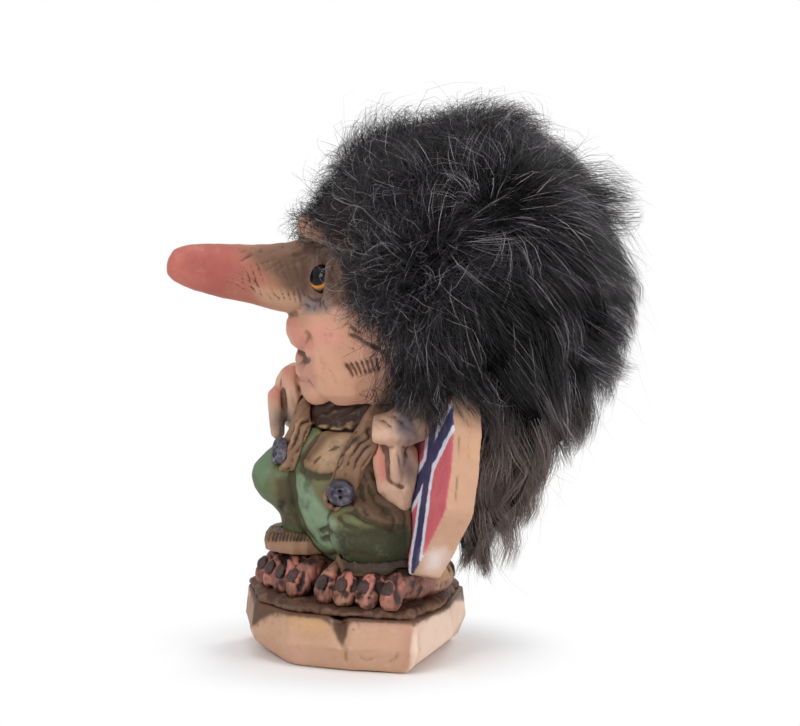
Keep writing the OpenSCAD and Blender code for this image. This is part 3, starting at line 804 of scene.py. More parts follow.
GREEN_AT_BRACE = [(372, 448), (384, 446), (380, 462), (372, 462)]
FLAP = [(300, 462), (310, 440), (330, 424), (356, 420), (372, 430), (350, 452), (338, 476), (312, 474)]
LIT_FLAP = [(316, 460), (330, 440), (350, 434), (346, 448), (334, 466)]
NEAR_SIDE_FOLDS = [(346, 462), (384, 440), (412, 450), (414, 528), (380, 526), (350, 512)]
FLAP_FOLDS = [(300, 462), (330, 424), (372, 430), (340, 474)]
FOLDS_UNDER_BUTTON = [(344, 512), (352, 506), (400, 524), (384, 534)]
KNEE_FOLDS = [(310, 520), (350, 528), (350, 560), (326, 556)]
NEAR_SIDE_DIRT = [(346, 462), (412, 440), (414, 530), (350, 520)]
FLAP_HEM = [(300, 458), (322, 430), (356, 418), (362, 422), (328, 438), (310, 462)]
FLAP_EDGES = ([(300, 471), (318, 477), (338, 476)], [(338, 478), (350, 462), (364, 448), (376, 432)],
              [(302, 474), (300, 460), (310, 444), (322, 430)], [(322, 430), (338, 422), (356, 418)],
              [(350, 510), (366, 520), (392, 528), (410, 526)], [(336, 515), (344, 524), (360, 530)])

# %% Trousers
trousers = Clay("green_trousers", ["trouser_seat", "right_trouser_leg", "left_trouser_leg"], 0.5, 14,
                tint(94, 104, 70))
trousers.uneven(0.3, 9, 3)
trousers.settle()
for fold in TROUSER_FOLDS:
    trousers.stroke(fold, 1.2, 0.6, 0.6)
trousers.blotch(0.55, 8, 21, tint(122, 108, 70))
trousers.blotch(0.35, 6, 25, tint(84, 104, 86), less=0.1)
# Of these patches, the lit ones are painted highlights, and the one under the belly is dark green paint
# together with painted shadow under the belly.
for outline, colour, amount, soft in ((LIT_BELLY, (128, 150, 120), 0.9, 2.5),
                                      (LIT_FAR_KNEE, (104, 128, 100), 0.8, 2.5),
                                      (SHADOW_UNDER_BELLY, (48, 48, 26), 0.95, 5),
                                      (BETWEEN_LEGS, (78, 66, 46), 0.9, 3),
                                      (NEAR_SIDE, (104, 80, 60), 1.0, 3),
                                      (GREEN_AT_BRACE, (96, 108, 72), 0.8, 2.5),
                                      (FLAP, (152, 120, 90), 1.0, 2.5),
                                      (LIT_FLAP, (184, 150, 118), 0.7, 5)):
    trousers.patch(outline, tint(*colour), amount, soft)
trousers.wrinkles(NEAR_SIDE_FOLDS, 58, 11, 0.7, 0.55)
trousers.wrinkles(FLAP_FOLDS, -38, 14, 0.4, 0.08, seed=12)
trousers.wrinkles(FOLDS_UNDER_BUTTON, 20, 9, 0.6, 0.5, seed=15)
trousers.wrinkles(KNEE_FOLDS, -8, 8, 0.35, 0.35, seed=18)
trousers.blotch(0.45, 5, 91, tint(58, 44, 34), 2.2, where=trousers.inside(NEAR_SIDE_DIRT, 6, False))
trousers.patch(FLAP_HEM, tint(92, 68, 50), 0.7, 3)
for edge in FLAP_EDGES:
    trousers.stroke(edge, 1.0, 1.0, 1.0)
trousers.finish("green_trousers", green_coat, "trouser_seat", "right_trouser_leg", "left_trouser_leg",
                wash=1.2, grime=0.6)

# %% Cuffs
RIBS = 15
FIRST_RIB = 262
RIB_STEP = 3.6
RIB = [(0, 526), (1, 533), (-1, 540)]
FAR_CUFF_MOUND = [(254, 540), (318, 541), (316, 560), (254, 556)]
NEAR_CUFF = [(340, 555), (412, 552), (412, 575), (345, 575)]
cuffs = Clay("ribbed_cuffs", ["right_hem", "left_hem"], 0.34, 2, tint(112, 88, 62))
cuffs.uneven(0.2, 3, 8)
for k in range(RIBS):
    cuffs.stroke(moved(RIB, *[(FIRST_RIB + RIB_STEP * k, 0)] * 3), 0.4, 0.5, 0.95, taper=False)
cuffs.patch(FAR_CUFF_MOUND, tint(156, 118, 92), 0.9)
cuffs.patch(NEAR_CUFF, tint(56, 44, 32), 0.95)
cuffs.finish("ribbed_hem", strap_coat, "right_hem", "left_hem", wash=1.2, grime=0.6)

# %% Shirt
COLLAR = [(290, 395), (370, 395), (370, 440), (290, 440)]
vest = Clay("brown_shirt", ["shirt"], 0.6, 8, tint(52, 32, 22))
vest.uneven(0.4, 6, 4)
vest.settle()
vest.wrinkles(COLLAR, -25, 11, 0.8, 0.3)
vest.finish("brown_shirt", strap_coat, "shirt", wash=1.0)

# %% Braces
BRACE_EDGES = ([(333, 500), (332, 478), (338, 458), (352, 440), (368, 430)],
               [(300, 462), (309, 448), (320, 434), (334, 424), (352, 418)])
FAR_BRACE = [(284, 410), (345, 410), (345, 475), (284, 475)]
NEAR_BRACE = [(330, 420), (385, 420), (372, 520), (326, 520)]
BRACE_END = [(326, 476), (352, 476), (358, 512), (330, 520)]
braces = Clay("leather_braces", ["right_brace", "left_brace"], 0.4, 6, tint(132, 100, 76))
braces.uneven(0.25, 4, 6)
braces.settle()
braces.blotch(0.5, 5, 31, tint(160, 124, 94))
for edge in BRACE_EDGES:
    braces.stroke(edge, 0.9, 0.7, 0.9)
braces.wrinkles(FAR_BRACE, -62, 9, 0.9, 0.15)
braces.wrinkles(NEAR_BRACE, -58, 9, 0.9, 0.15, seed=21)
braces.patch(BRACE_END, tint(96, 72, 52), 0.8, 4)
braces.finish("brace", strap_coat, "right_brace", "left_brace", wash=1.2, grime=0.7)

# %% [markdown]
# ## Arms and hands
#
# The near hand is a fist round the board, and the far one hangs under the chin. Both are thick and
# simple, so grooves between the fingers and a blush on the knuckles do most of the work.

# %% Lines of the picture on the hands
FINGER_GROOVES = ([(362, 412), (368, 420), (378, 428)], [(372, 408), (380, 418), (392, 428)],
                  [(385, 404), (392, 414), (404, 424)], [(384, 446), (388, 462), (387, 480)],
                  [(401, 440), (399, 456), (402, 470)], [(388, 480), (396, 486), (408, 488)],
                  [(283, 388), (284, 410), (285, 430)], [(296, 380), (302, 398), (306, 420)])
UPPER_FINGERS = [(355, 402), (414, 400), (414, 436), (362, 430)]
LOWER_FINGERS = [(374, 440), (414, 440), (414, 505), (378, 500)]
FAR_FINGERS = [(268, 360), (306, 360), (306, 440), (268, 440)]
KNUCKLES = [(355, 402), (400, 398), (396, 424), (366, 432)]
BLUE_SHADE = [(396, 402), (416, 402), (416, 436), (398, 432)]
THUMB_BLUSH = [(380, 448), (382, 474)]
FAR_BLUSHES = [(285, 368), (290, 374)], [(276, 390), (275, 396)]
SHADOW_UNDER_FAR_HAND = [(284, 420), (300, 428), (314, 430)]
SHADE_BEHIND_THUMB = [(404, 430), (410, 440), (408, 470)]

# %% Arms and hands
hands = Clay("arms_and_hands", ["right_arm", "left_arm", "right_hand", "left_hand"], 0.42, 9,
             tint(212, 172, 146))
hands.uneven(0.25, 5, 14)
hands.settle()
for groove in FINGER_GROOVES:
    hands.stroke(groove, 0.8, 0.6, 0.1)
hands.wrinkles(UPPER_FINGERS, 42, 9, 0.3, 0.08)
hands.wrinkles(LOWER_FINGERS, 78, 10, 0.3, 0.05, seed=23)
hands.wrinkles(FAR_FINGERS, 80, 10, 0.3, 0.08, seed=27)
hands.patch(KNUCKLES, tint(178, 142, 118), 0.8, 4)
hands.patch(BLUE_SHADE, tint(92, 84, 96), 0.85, 4)
hands.brush(THUMB_BLUSH, 2.2, tint(206, 130, 114), 0.9)
for line, width in zip(FAR_BLUSHES, (2.6, 2.4)):
    hands.brush(line, width, tint(200, 132, 116), 0.9)
# Painted shadow under the far hand and painted shade behind the near thumb, both in grey.
hands.brush(SHADOW_UNDER_FAR_HAND, 4.0, tint(86, 84, 84), 0.85)
hands.brush(SHADE_BEHIND_THUMB, 3.0, tint(96, 88, 92), 0.7)
hands.finish("skin", skin_coat, "right_arm", "left_arm", "right_hand", "left_hand", wash=0.7, grime=0.3)

# %% [markdown]
# ## Head
#
# Head, jaw, nose and brows are one skin, and so are the eyelids: a ball of skin is added over each glass
# eye, then opened like a hood in the direction of the gaze. The marks are scored on both sides at once.

# %% Head with nose, jaw and brows
EYE = (12.0, -9.4, 106.1)
EYE_R = 4.3
LID = 0.7
lids = [((s * EYE[0], EYE[1], EYE[2]), (EYE_R + LID,) * 3) for s in (-1, 1)]
face = Clay("troll_face", ["head", "jaw", "nose", "right_brow", "left_brow"], 0.5, 20, tint(204, 152, 124),
            lids)

# %% Eyelids, opened over the glass towards the front and side
SLIT_HALF_WIDTH, SLIT_HALF_HEIGHT = 0.60, 0.98
SLIT_EDGE, SLIT_SOFT = 1.12, 0.24
SKIN_UNDER_GLASS = 1.2
LID_REACH = 9
gaze = Vector((0.64, -0.75, 0.12)).normalized()
for s in (-1, 1):
    pivot = np.array([s * EYE[0], EYE[1], EYE[2]]) * MM
    out = face.co - pivot
    far = np.linalg.norm(out, axis=1)
    way = out / far[:, None]
    ahead = np.array([s * gaze.x, gaze.y, gaze.z])
    across = np.cross([0, 0, 1], ahead)
    across /= np.linalg.norm(across)
    rise = np.cross(ahead, across)
    a, b, c = way @ across, way @ rise, way @ ahead
    inside = (a / SLIT_HALF_WIDTH) ** 2 + (b / SLIT_HALF_HEIGHT) ** 2
    opened = np.clip((SLIT_EDGE - inside) / SLIT_SOFT, 0, 1) * (c > 0) * (far < LID_REACH * MM)
    goal = pivot + way * (EYE_R - SKIN_UNDER_GLASS) * MM
    face.co += (goal - face.co) * opened[:, None]
face.settle()
face.co += face.normal * ((0.3 * fractal(face.co, 7, 3) + 0.1 * fractal(face.co, 2, 9)) * MM)[:, None]
face.settle()

# %% Lines of the picture on the face
CHEEK_FOLD = [(292, 318), (302, 332), (313, 350), (321, 364), (321, 378), (316, 389)]
MOUTH = [(300, 352), (304, 358), (309, 360)]
CHEEK_SCAR = [(348, 334), (358, 338), (370, 345), (386, 353)]
SCAR_START = [(350, 326), (356, 332), (362, 334)]
CHIN_LINE = [(326, 368), (334, 374), (337, 386)]
BAGS_UNDER_EYE = [(306, 295), (312, 300), (322, 301)], [(304, 304), (314, 309), (326, 306)]
NOSE_SCORE = [(240, 262), (246, 257), (254, 253)]
BRIDGE_CREASE = [(292, 256), (302, 250), (316, 248)]
TICKS = 7
CHEEK_TICK = [(345, 363), (350, 369), (354, 378)]
NOSE_SIDE = [(236, 268), (262, 262), (300, 262), (306, 300), (276, 302), (246, 290)]
NOSE_MIDDLE = [(222, 268), (262, 264), (262, 292), (226, 290)]
NOSE_TOP = [(240, 250), (300, 238), (312, 262), (262, 272)]
BESIDE_EYE = [(322, 262), (352, 262), (356, 312), (322, 306)]
UNDER_EYE = [(300, 298), (334, 296), (330, 318), (304, 318)]
FOREHEAD = [(304, 208), (346, 176), (352, 240), (310, 246)]
CHEEK_EDGE = [(346, 322), (392, 346), (388, 362), (350, 350)]
BROWN_ON_NOSE = [(242, 250), (300, 236), (316, 244), (306, 292), (286, 288), (262, 270)]
DARK_NOSE_ROOT = [(272, 258), (300, 252), (308, 264), (306, 296), (288, 292)]
LIT_UNDER_NOSE = [(250, 284), (284, 290), (300, 300), (288, 312), (262, 302)]
SHADE_UNDER_EYE = [(300, 296), (332, 296), (330, 312), (304, 314)]
OCHRE_BESIDE_EYE = [(322, 256), (352, 262), (366, 312), (330, 306)]
DARK_OVER_EYE = [(300, 240), (330, 236), (352, 262), (322, 260), (308, 256)]
AROUND_EYE = [(300, 256), (322, 250), (336, 260), (336, 296), (320, 300), (300, 294)]
ROSY_CHEEK = [(318, 320), (340, 330), (340, 345), (316, 346), (306, 330)]
ROSY_LIP = [(286, 312), (296, 320), (312, 350), (300, 350), (288, 334)]
ROSY_CHIN = [(296, 354), (314, 356), (316, 386), (304, 390), (298, 376)]
ROSY_SCAR = [(352, 334), (392, 346), (398, 372), (384, 372)]
BROWN_FOREHEAD = [(302, 236), (316, 206), (340, 180), (356, 190), (340, 224), (324, 240)]
BARE_SKIN = [(150, 200), (298, 200), (338, 258), (348, 298), (352, 314), (382, 332), (390, 372),
             (380, 420), (150, 440)]

# %% Scores and paint on the face
for crease, width, depth, stain in (
        (CHEEK_FOLD, 1.9, 0.9, 0.0), (MOUTH, 1.2, 1.4, 1.0), (CHEEK_SCAR, 0.7, 0.9, 0.6),
        (SCAR_START, 0.6, 0.5, 0.8), (CHIN_LINE, 0.35, 0.3, 0.4), (BAGS_UNDER_EYE[0], 0.7, 0.6, 0.8),
        (BAGS_UNDER_EYE[1], 0.7, 0.5, 0.6), (NOSE_SCORE, 0.6, 0.5, 0.5), (BRIDGE_CREASE, 1.0, 0.7, 0.7)):
    face.stroke(crease, width, depth, stain, both=True)
for k in range(TICKS):
    tick = moved(CHEEK_TICK, (5.2 * k, -k), (4.6 * k, -0.5 * k), (4.2 * k, -k))
    face.stroke(tick, 0.42, 0.8, 1.0, both=True)
for outline, angle, spacing, depth, stain, seed in (
        (NOSE_SIDE, 68, 6, 0.4, 0.75, 7), (NOSE_MIDDLE, 20, 4, 0.35, 0.8, 31),
        (NOSE_TOP, -25, 6, 0.4, 0.9, 35), (BESIDE_EYE, 72, 5, 0.4, 0.8, 39),
        (UNDER_EYE, 8, 5, 0.3, 0.5, 43), (FOREHEAD, 40, 7, 0.7, 0.9, 47),
        (CHEEK_EDGE, 30, 7, 0.35, 0.5, 51)):
    face.wrinkles(outline, angle, spacing, depth, stain, True, seed)
forward = -face.co[:, 1] / MM
height_mm = face.co[:, 2] / MM
red_tip = np.clip((forward - 19 + 3.5 * fractal(face.co, 7, 41)) / 17, 0, 1)
face.cover(0.95 * np.clip((forward - 12) / 6, 0, 1) * (height_mm > 92), tint(170, 126, 98))
face.cover(0.92 * red_tip ** 0.8, tint(166, 86, 76))
face.cover(0.6 * np.clip((forward - 40) / 9, 0, 1), tint(198, 116, 102))
face.blotch(0.5, 5, 81, tint(150, 76, 68), where=red_tip)
# Of these patches, the grey one under the eye is painted shade under the eye bag, and the one under the nose
# is a painted highlight.
for outline, colour, amount, soft, seed in (
        (BROWN_ON_NOSE, (118, 86, 66), 0.95, 6, 5), (DARK_NOSE_ROOT, (92, 66, 52), 0.8, 5, 61),
        (LIT_UNDER_NOSE, (188, 148, 118), 0.8, 4, 5), (SHADE_UNDER_EYE, (108, 102, 106), 0.85, 4, 5),
        (OCHRE_BESIDE_EYE, (106, 78, 56), 0.95, 4, 5), (DARK_OVER_EYE, (64, 50, 44), 0.9, 4, 5),
        (AROUND_EYE, (88, 66, 54), 0.85, 4, 5), (ROSY_CHEEK, (216, 150, 132), 0.8, 6, 5),
        (ROSY_LIP, (200, 132, 116), 0.8, 3, 5), (ROSY_CHIN, (184, 130, 114), 0.7, 3, 5),
        (ROSY_SCAR, (196, 142, 124), 0.8, 4, 5), (BROWN_FOREHEAD, (104, 80, 62), 0.8, 5, 5)):
    face.patch(outline, tint(*colour), amount, soft, True, seed)
bare = np.maximum(face.inside(BARE_SKIN, 3.5, True, 3.0), forward > 16)
face.cover((1 - bare) * (height_mm > 100) * 0.92, tint(38, 31, 30))
face.finish("skin", skin_coat, "head", "jaw", "nose", "right_brow", "left_brow", wash=0.5, grime=0.12)

# %% [markdown]
# ## Glass eyes
#
# A stock glass eye is a dark ball with an amber ring painted behind clear glass. A smooth ball with a
# ring by its own gaze direction, under a thin clear coat, gives the same look and keeps a sharp glint.

# %% Glass eyes
eye_coat = Coat("amber_glass_eye")
ring = eye_coat.ramp(eye_coat.attribute("gaze"), (0.0, tint(6, 6, 10)), (0.36, tint(8, 8, 12)),
                     (0.44, tint(110, 62, 14)), (0.62, tint(206, 140, 52)), (0.68, tint(140, 78, 18)),
                     (0.72, tint(5, 5, 9)), (1.0, tint(6, 7, 14)))
eye_material = eye_coat.set(base_color=ring, roughness=0.12, coat_weight=0.45, coat_roughness=0.03,
                            specular_ior_level=0.0)
for side, name in ((-1, "right_eye"), (1, "left_eye")):
    deselect()
    middle = np.array([side * EYE[0], EYE[1], EYE[2]]) * MM
    bpy.ops.mesh.primitive_uv_sphere_add(segments=64, ring_count=32, radius=EYE_R * MM,
                                         location=tuple(middle))
    ball = bpy.context.object
    bpy.ops.object.transform_apply(location=True, rotation=True, scale=True)
    ball.name = name + "_glass"
    look = np.array([side * 0.60, -0.66, 0.46])
    look /= np.linalg.norm(look)
    way = (np.array([v.co for v in ball.data.vertices]) - middle) / (EYE_R * MM)
    ball.data.attributes.new("gaze", "FLOAT", "POINT").data.foreach_set("value", np.clip(way @ look, 0, 1))
    ball.data.polygons.foreach_set("use_smooth", np.ones(len(ball.data.polygons), bool))
    ball.data.materials.append(eye_material)
    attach(ball, "root")
    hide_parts(name)

# %% [markdown]
# ## Flag board
#
# The board is as thick as a small plank, sawn and then carved, with the flag painted on its front.
# It is set upright, tipped back a little, and turned with the block. The paint is worked out in the
# board's own plane: a dark band along it, a second one across, both edged in white on a red ground.

# %% Board
BOARD_TURN = 8
BOARD_FOOT = np.array([18, 11.5, 50])
BOARD_UP = np.array([0, 0.208, 0.978])
BOARD_BACK = np.array([0, 0.978, -0.208])
BAND_ALONG = (16.4, -24, 6.3, 24)
BAND_ACROSS = (0.5, -5.6, 21.8, 23.2)
BLUE_HALF, WHITE_HALF = 2.8, 4.9
SAW_LINE = [(458, 400), (459, 440), (457, 480), (455, 508)]
GRAIN_MARK = [(466, 408), (470, 414), (467, 420)]
SCUFF = [(434, 566), (436, 556)]
BARE_FOOT_EDGE = [(420, 578), (436, 574)]
board = Clay("carved_flag_board", ["flag_board"], 0.42, 4, tint(190, 148, 120))
board.uneven(0.28, 11, 5)
a = math.radians(BOARD_TURN)
spin = np.array([[math.cos(a), -math.sin(a), 0], [math.sin(a), math.cos(a), 0], [0, 0, 1]])
local = board.co / MM @ spin - BOARD_FOOT
sideways = local[:, 0]
upwards = local @ BOARD_UP
depth = local @ BOARD_BACK
board.co += (np.clip(1 - depth / 1.5, 0, 1) * 0.12 * fractal(board.co, 1.6, 8) * MM)[:, None] * board.normal
board.settle()


def band(x0, y0, x1, y1):
    """Distance of every point of the board from a painted line, in its plane, with a shaky edge."""
    d = np.array([x1 - x0, y1 - y0])
    t = np.clip(((sideways - x0) * d[0] + (upwards - y0) * d[1]) / (d @ d), -0.2, 1.2)
    gap = np.hypot(sideways - x0 - t * d[0], upwards - y0 - t * d[1])
    return gap + 0.6 * fractal(board.co, 2.2, 50)


front = (depth < 1.1 + 0.35 * fractal(board.co, 3, 52)) & (upwards > -24 + 1.2 * fractal(board.co, 4, 54))
front &= board.normal @ (spin @ BOARD_BACK) < -0.35
cross = np.minimum(band(*BAND_ALONG), band(*BAND_ACROSS))
board.cover(front * 1.0, tint(204, 100, 108))
board.blotch(0.5, 2.5, 56, tint(180, 78, 88), where=front)
board.cover(front * np.clip((WHITE_HALF - cross) / 0.4, 0, 1), tint(222, 222, 232))
board.cover(front * np.clip((BLUE_HALF - cross) / 0.35, 0, 1), tint(58, 56, 92))
board.stroke(SAW_LINE, 0.3, 0.35, 0.9)
for k in range(6):
    board.stroke(moved(GRAIN_MARK, *[(0, 9 * k)] * 3), 0.25, 0.14, 0.3)
board.brush(SCUFF, 3.0, tint(238, 226, 222), 0.7)
board.brush(BARE_FOOT_EDGE, 3.0, tint(214, 178, 150), 0.6)
board.blotch(0.4, 9, 58, tint(206, 162, 116), where=~front)
board_coat = casting_coat("painted_board", tint(120, 86, 66), 0.55, 0.5, None, 0.2, 0.1)
board.finish("painted_board", board_coat, "flag_board", wash=0.3, grime=0.1)

# %% [markdown]
# ## Buttons
#
# The brace buttons are small and plain, so the CAD solids stay as they are. They only get a coat of
# grey that is worn through to brown in places.

# %% Buttons
button_coat = Coat("worn_grey_button")
patch = button_coat.noise(420, 5, 0.65)
worn_grey = button_coat.ramp(patch, (0.32, tint(28, 25, 31)), (0.5, tint(60, 55, 68)),
                             (0.66, tint(118, 110, 122)), (0.8, tint(74, 54, 44)))
button_material = button_coat.set(base_color=worn_grey, roughness=0.5,
                                  normal=button_coat.bump(patch, 0.6, 0.0004))
for name in ("right_brace_button", "left_brace_button"):
    nodes[name].data.materials.clear()
    nodes[name].data.materials.append(button_material)

# %% [markdown]
# ## Fur
#
# The wig is long-haired fur pelt. Every hair is a real strand here, a closed three-sided spike that
# tapers to its tip. The strands start on a scalp, which is the wig's solid shrunk inwards, they flow
# away from a crown above each ear, and neighbours lean together into locks. Their numbers are drawn
# from a seeded generator, so the fur is the same every time.

# %% Scalp
ROOTS_DEEP = 5
ROOTS_DEEPER = 6.5
SKIN_DEEP = 4.2
SKIN_DEEPER = 2.4
wig_shell = Clay("fur_scalp", ["wig", "head", "jaw", "shirt", "trouser_seat"], 1.6, 10, tint(14, 13, 15))
envelope = wig_shell.surface
deselect()
pelt = BVHTree.FromObject(nodes["wig"], bpy.context.evaluated_depsgraph_get())
hairy = np.array([(pelt.find_nearest(Vector(p))[3] or 9) < 1.6 * MM for p in wig_shell.co], float)
deep = ROOTS_DEEP + ROOTS_DEEPER * np.clip(wig_shell.co[:, 1] / MM / 20, 0, 1)
inward = wig_shell.blurred(wig_shell.normal, 6)
deep = wig_shell.blurred(deep, 6)[:, None]
root_places = wig_shell.co - inward * deep * MM
y, z = wig_shell.co[:, 1] / MM, wig_shell.co[:, 2] / MM
flat = smoothstep(y, 34, 50) * smoothstep(z, 104, 120) + smoothstep(y, 40, 55)
skin_deep = SKIN_DEEP + SKIN_DEEPER * wig_shell.blurred(flat, 6)[:, None]
wig_shell.co -= inward * np.minimum(deep, skin_deep) * MM
wig_shell.co += inward * (0.8 * fractal(wig_shell.co, 5, 93) * MM)[:, None]
wig_shell.settle()
# The scalp is near-black, as painted shade deep among the roots of the fur.
dark_material = Coat("fur_shadow").set(base_color=tint(4, 4, 5), roughness=0.95, specular_ior_level=0.1)
wig_shell.finish("black_fur", dark_material, "wig")
print("scalp points:", len(wig_shell.co))

# %% Where hairs start
rng = np.random.default_rng(7)
PIECES = 7
PER_PIECE = 7000
CROWN = np.array([27.0, 35.0, 124.0]) * MM
CROWN_RUN = np.array([0, -20, -16]) * MM
MESSY_MM = 15
CHIN_HAIR = (374, 394)


class Ground:
    """A skin that hair grows from, with a share of the hair for each of its triangles."""

    def __init__(self, clay, places, share=None):
        mesh = clay.obj.data
        mesh.calc_loop_triangles()
        tri = np.empty(len(mesh.loop_triangles) * 3, np.int32)
        mesh.loop_triangles.foreach_get("vertices", tri)
        self.tri = tri.reshape(-1, 3)
        self.corner = places[self.tri]
        self.normal = clay.blurred(clay.normal, 12)
        edge_a = self.corner[:, 1] - self.corner[:, 0]
        edge_b = self.corner[:, 2] - self.corner[:, 0]
        self.chance = np.linalg.norm(np.cross(edge_a, edge_b), axis=1)
        if share is not None:
            self.chance = self.chance * share(*(self.corner.mean(1) / MM).T)
        else:
            self.chance = self.chance * hairy[self.tri].min(1)
        self.chance = self.chance / self.chance.sum()

    def scatter(self, count):
        """Random places on the skin, with their normals."""
        pick = rng.choice(len(self.tri), count, p=self.chance)
        u, v = rng.random(count), rng.random(count)
        flip = u + v > 1
        u[flip], v[flip] = 1 - u[flip], 1 - v[flip]
        w = np.stack([1 - u - v, u, v], 1)[:, :, None]
        normal = (self.normal[self.tri[pick]] * w).sum(1)
        return (self.corner[pick] * w).sum(1), normal / np.linalg.norm(normal, axis=1)[:, None]


chin_hair = face.seen([CHIN_HAIR])[0] / MM


def temples(x, y, z):
    """Where hair grows out of the head itself: the forehead and the sides behind the eyes."""
    side = smoothstep(y + 0.2 * np.maximum(z - 108, 0), -5.0, -1.5) * smoothstep(z + 0.35 * (y + 6), 98, 102)
    brow = smoothstep(z, 113.5, 116) * smoothstep(y, -16, -10) + smoothstep(z, 123, 126)
    whisker = np.exp(-((x - chin_hair[0]) ** 2 + (y - chin_hair[1]) ** 2 + (z - chin_hair[2]) ** 2) / 8)
    return np.clip(side + brow + whisker, 0, 1) * (np.hypot(np.abs(x) - 12, z - 106) > 5.2) * (z < 146)


scalp = Ground(wig_shell, root_places)
forehead = Ground(face, face.co, temples)


def turned(way, n, angle):
    """Every direction turned about its normal by its own angle."""
    return way * np.cos(angle)[:, None] + np.cross(n, way) * np.sin(angle)[:, None]


def frizz(p):
    """How curly the fur is: all curls beside the face, nearly straight at the back."""
    return 1 - smoothstep(p[:, 1] / MM, 6, 30) * (1 - 0.4 * smoothstep(p[:, 2] / MM, 126, 140))


def parting(p, side):
    """From the nearest point of a side's crown, which is a short slanted line, to every point."""
    start, end = CROWN * (side, 1, 1), (CROWN + CROWN_RUN) * (side, 1, 1)
    t = np.clip((p - start) @ (end - start) / ((end - start) @ (end - start)), 0, 1)
    return p - start - t[:, None] * (end - start) + 1e-6


def messy(p):
    """How close each place is to a crown, 0 to 1, where the fur points anywhere."""
    gap = np.minimum(np.linalg.norm(parting(p, 1), axis=1), np.linalg.norm(parting(p, -1), axis=1))
    return np.exp(-(gap / (MESSY_MM * MM)) ** 2)


scalp.chance *= 1 + 2.0 * messy(scalp.corner.mean(1))
scalp.chance /= scalp.chance.sum()


def flow(p, n):
    """The way that the fur lies: away from the crown of its side, and down low on."""
    from_left = parting(p, 1)
    from_right = parting(p, -1)
    blend = 1 / (1 + np.exp(-p[:, :1] / (6 * MM)))
    away = from_left / np.linalg.norm(from_left, axis=1)[:, None] * blend
    away += from_right / np.linalg.norm(from_right, axis=1)[:, None] * (1 - blend)
    low_down = smoothstep(112 * MM - p[:, 2:], 0, 40 * MM)
    away = away + low_down * np.array([0, 0.05, -1.0]) + np.array([0, 0.15, -0.2])
    away -= (away * n).sum(1)[:, None] * n
    away /= np.linalg.norm(away, axis=1)[:, None] + 1e-9
    loose = 0.35 + 0.65 * np.maximum(frizz(p), messy(p))
    return turned(away, n, loose * (0.9 * fractal(p, 24, 61) + 0.6 * fractal(p, 8, 63)))


def hair_length(p):
    """Millimetres: long over the crown and back, short beside the face and at the bottom."""
    y, z = p[:, 1] / MM, p[:, 2] / MM
    front = smoothstep(y, 0, 24)
    top = smoothstep(z, 112, 135)
    tufts = 1 + 0.4 * fractal(p, 18, 65)
    return (9.5 + 13.5 * np.maximum(front, 0.9 * top)) * tufts * (0.62 + 0.38 * smoothstep(z, 28, 80))


# %% [markdown]
# Hair never lies singly. Hairs lean together into locks, and locks into tufts, so the fur shows pointed
# wedges with dark gaps between them. That takes three levels: each one follows the level above it more
# and more towards its tip. Whatever rises too far out of the wig's own solid is pressed back to it.

# %% Paths of the hairs
RINGS = 4
CURVE_MM = 46.0


def paths(root, normal, way, length, lift, droop, rings=RINGS):
    """Points along every hair: out of the skin, then over along the flow, round the head and down."""
    t = np.linspace(0, 1, rings + 1)[None, :, None]
    run = length[:, None, None] * (0.55 * t + 0.45 * t ** 2)
    out = normal[:, None] * ((lift * length)[:, None, None] * (1.8 * t - 0.9 * t ** 2)
                             - run ** 2 / (2 * CURVE_MM * MM))
    fall = np.array([0, 0, -1.0]) * (droop * length)[:, None, None] * t ** 2
    return root[:, None] + out + way[:, None] * run + fall


def held(path, slack):
    """Presses what rises further above the wig's shape than its slack most of the way back."""
    for h, allowed in enumerate(slack):
        for k in range(2, path.shape[1]):
            p = Vector(path[h, k])
            spot, normal, _, _ = envelope.find_nearest(p)
            above = (p - spot).dot(normal) - allowed
            if above > 0:
                path[h, k] -= np.array(normal) * above * 0.75
    return path


def finder(points):
    """A search tree of the points."""
    tree = KDTree(len(points))
    for i, p in enumerate(points):
        tree.insert(Vector(p), i)
    tree.balance()
    return tree


def led(path, root, leaders, amount):
    """Pulls every path towards the nearest leader's, more and more towards the tip."""
    tree, lead_root, lead_path, _ = leaders
    owner = np.array([tree.find(Vector(p))[1] for p in root])
    t = np.linspace(0, 1, path.shape[1])
    pull = amount[:, None, None] * t[None, :, None] ** 0.8
    spots = np.linspace(0, lead_path.shape[1] - 1, path.shape[1]).round().astype(int)
    goal = lead_path[owner][:, spots] + (root - lead_root[owner])[:, None] * 0.10
    return path * (1 - pull) + goal * pull, owner


def bulk(p):
    """Millimetres by which the fur stands fuller over the brow, and flatter behind the top."""
    y, z = p[:, 1] / MM, p[:, 2] / MM
    return (6.0 * (1 - smoothstep(y, 8, 26)) * smoothstep(z, 118, 130)
            + 2.0 * smoothstep(z, 126, 138) * (1 - smoothstep(y, 36, 52))
            - 3.5 * smoothstep(y, 34, 50) * smoothstep(z, 104, 120) - 2.5 * smoothstep(y, 40, 55))


# %% Tufts and locks
TUFTS, LOCKS = 230, 2400


def leaders(count, turn_by, lift_low, lift_high, slack, above=None, pull=0.0):
    """Hairs that others follow: how to find the nearest, their roots, their paths and their slack."""
    root, normal = scalp.scatter(count)
    way = turned(flow(root, normal), normal, rng.normal(0, 1, count) * (turn_by + 1.3 * messy(root)))
    length = hair_length(root) * rng.uniform(0.8, 1.25, count) * MM
    path = paths(root, normal, way, length, rng.uniform(lift_low, lift_high, count), np.full(count, 0.05))
    if above:
        path, owner = led(path, root, above, np.full(count, pull))
        allowed = above[3][owner] + rng.exponential(slack, count) - slack
    else:
        allowed = rng.exponential(slack, count) - 4.2 + bulk(root)
    return finder(root), root, held(path, allowed * MM), allowed


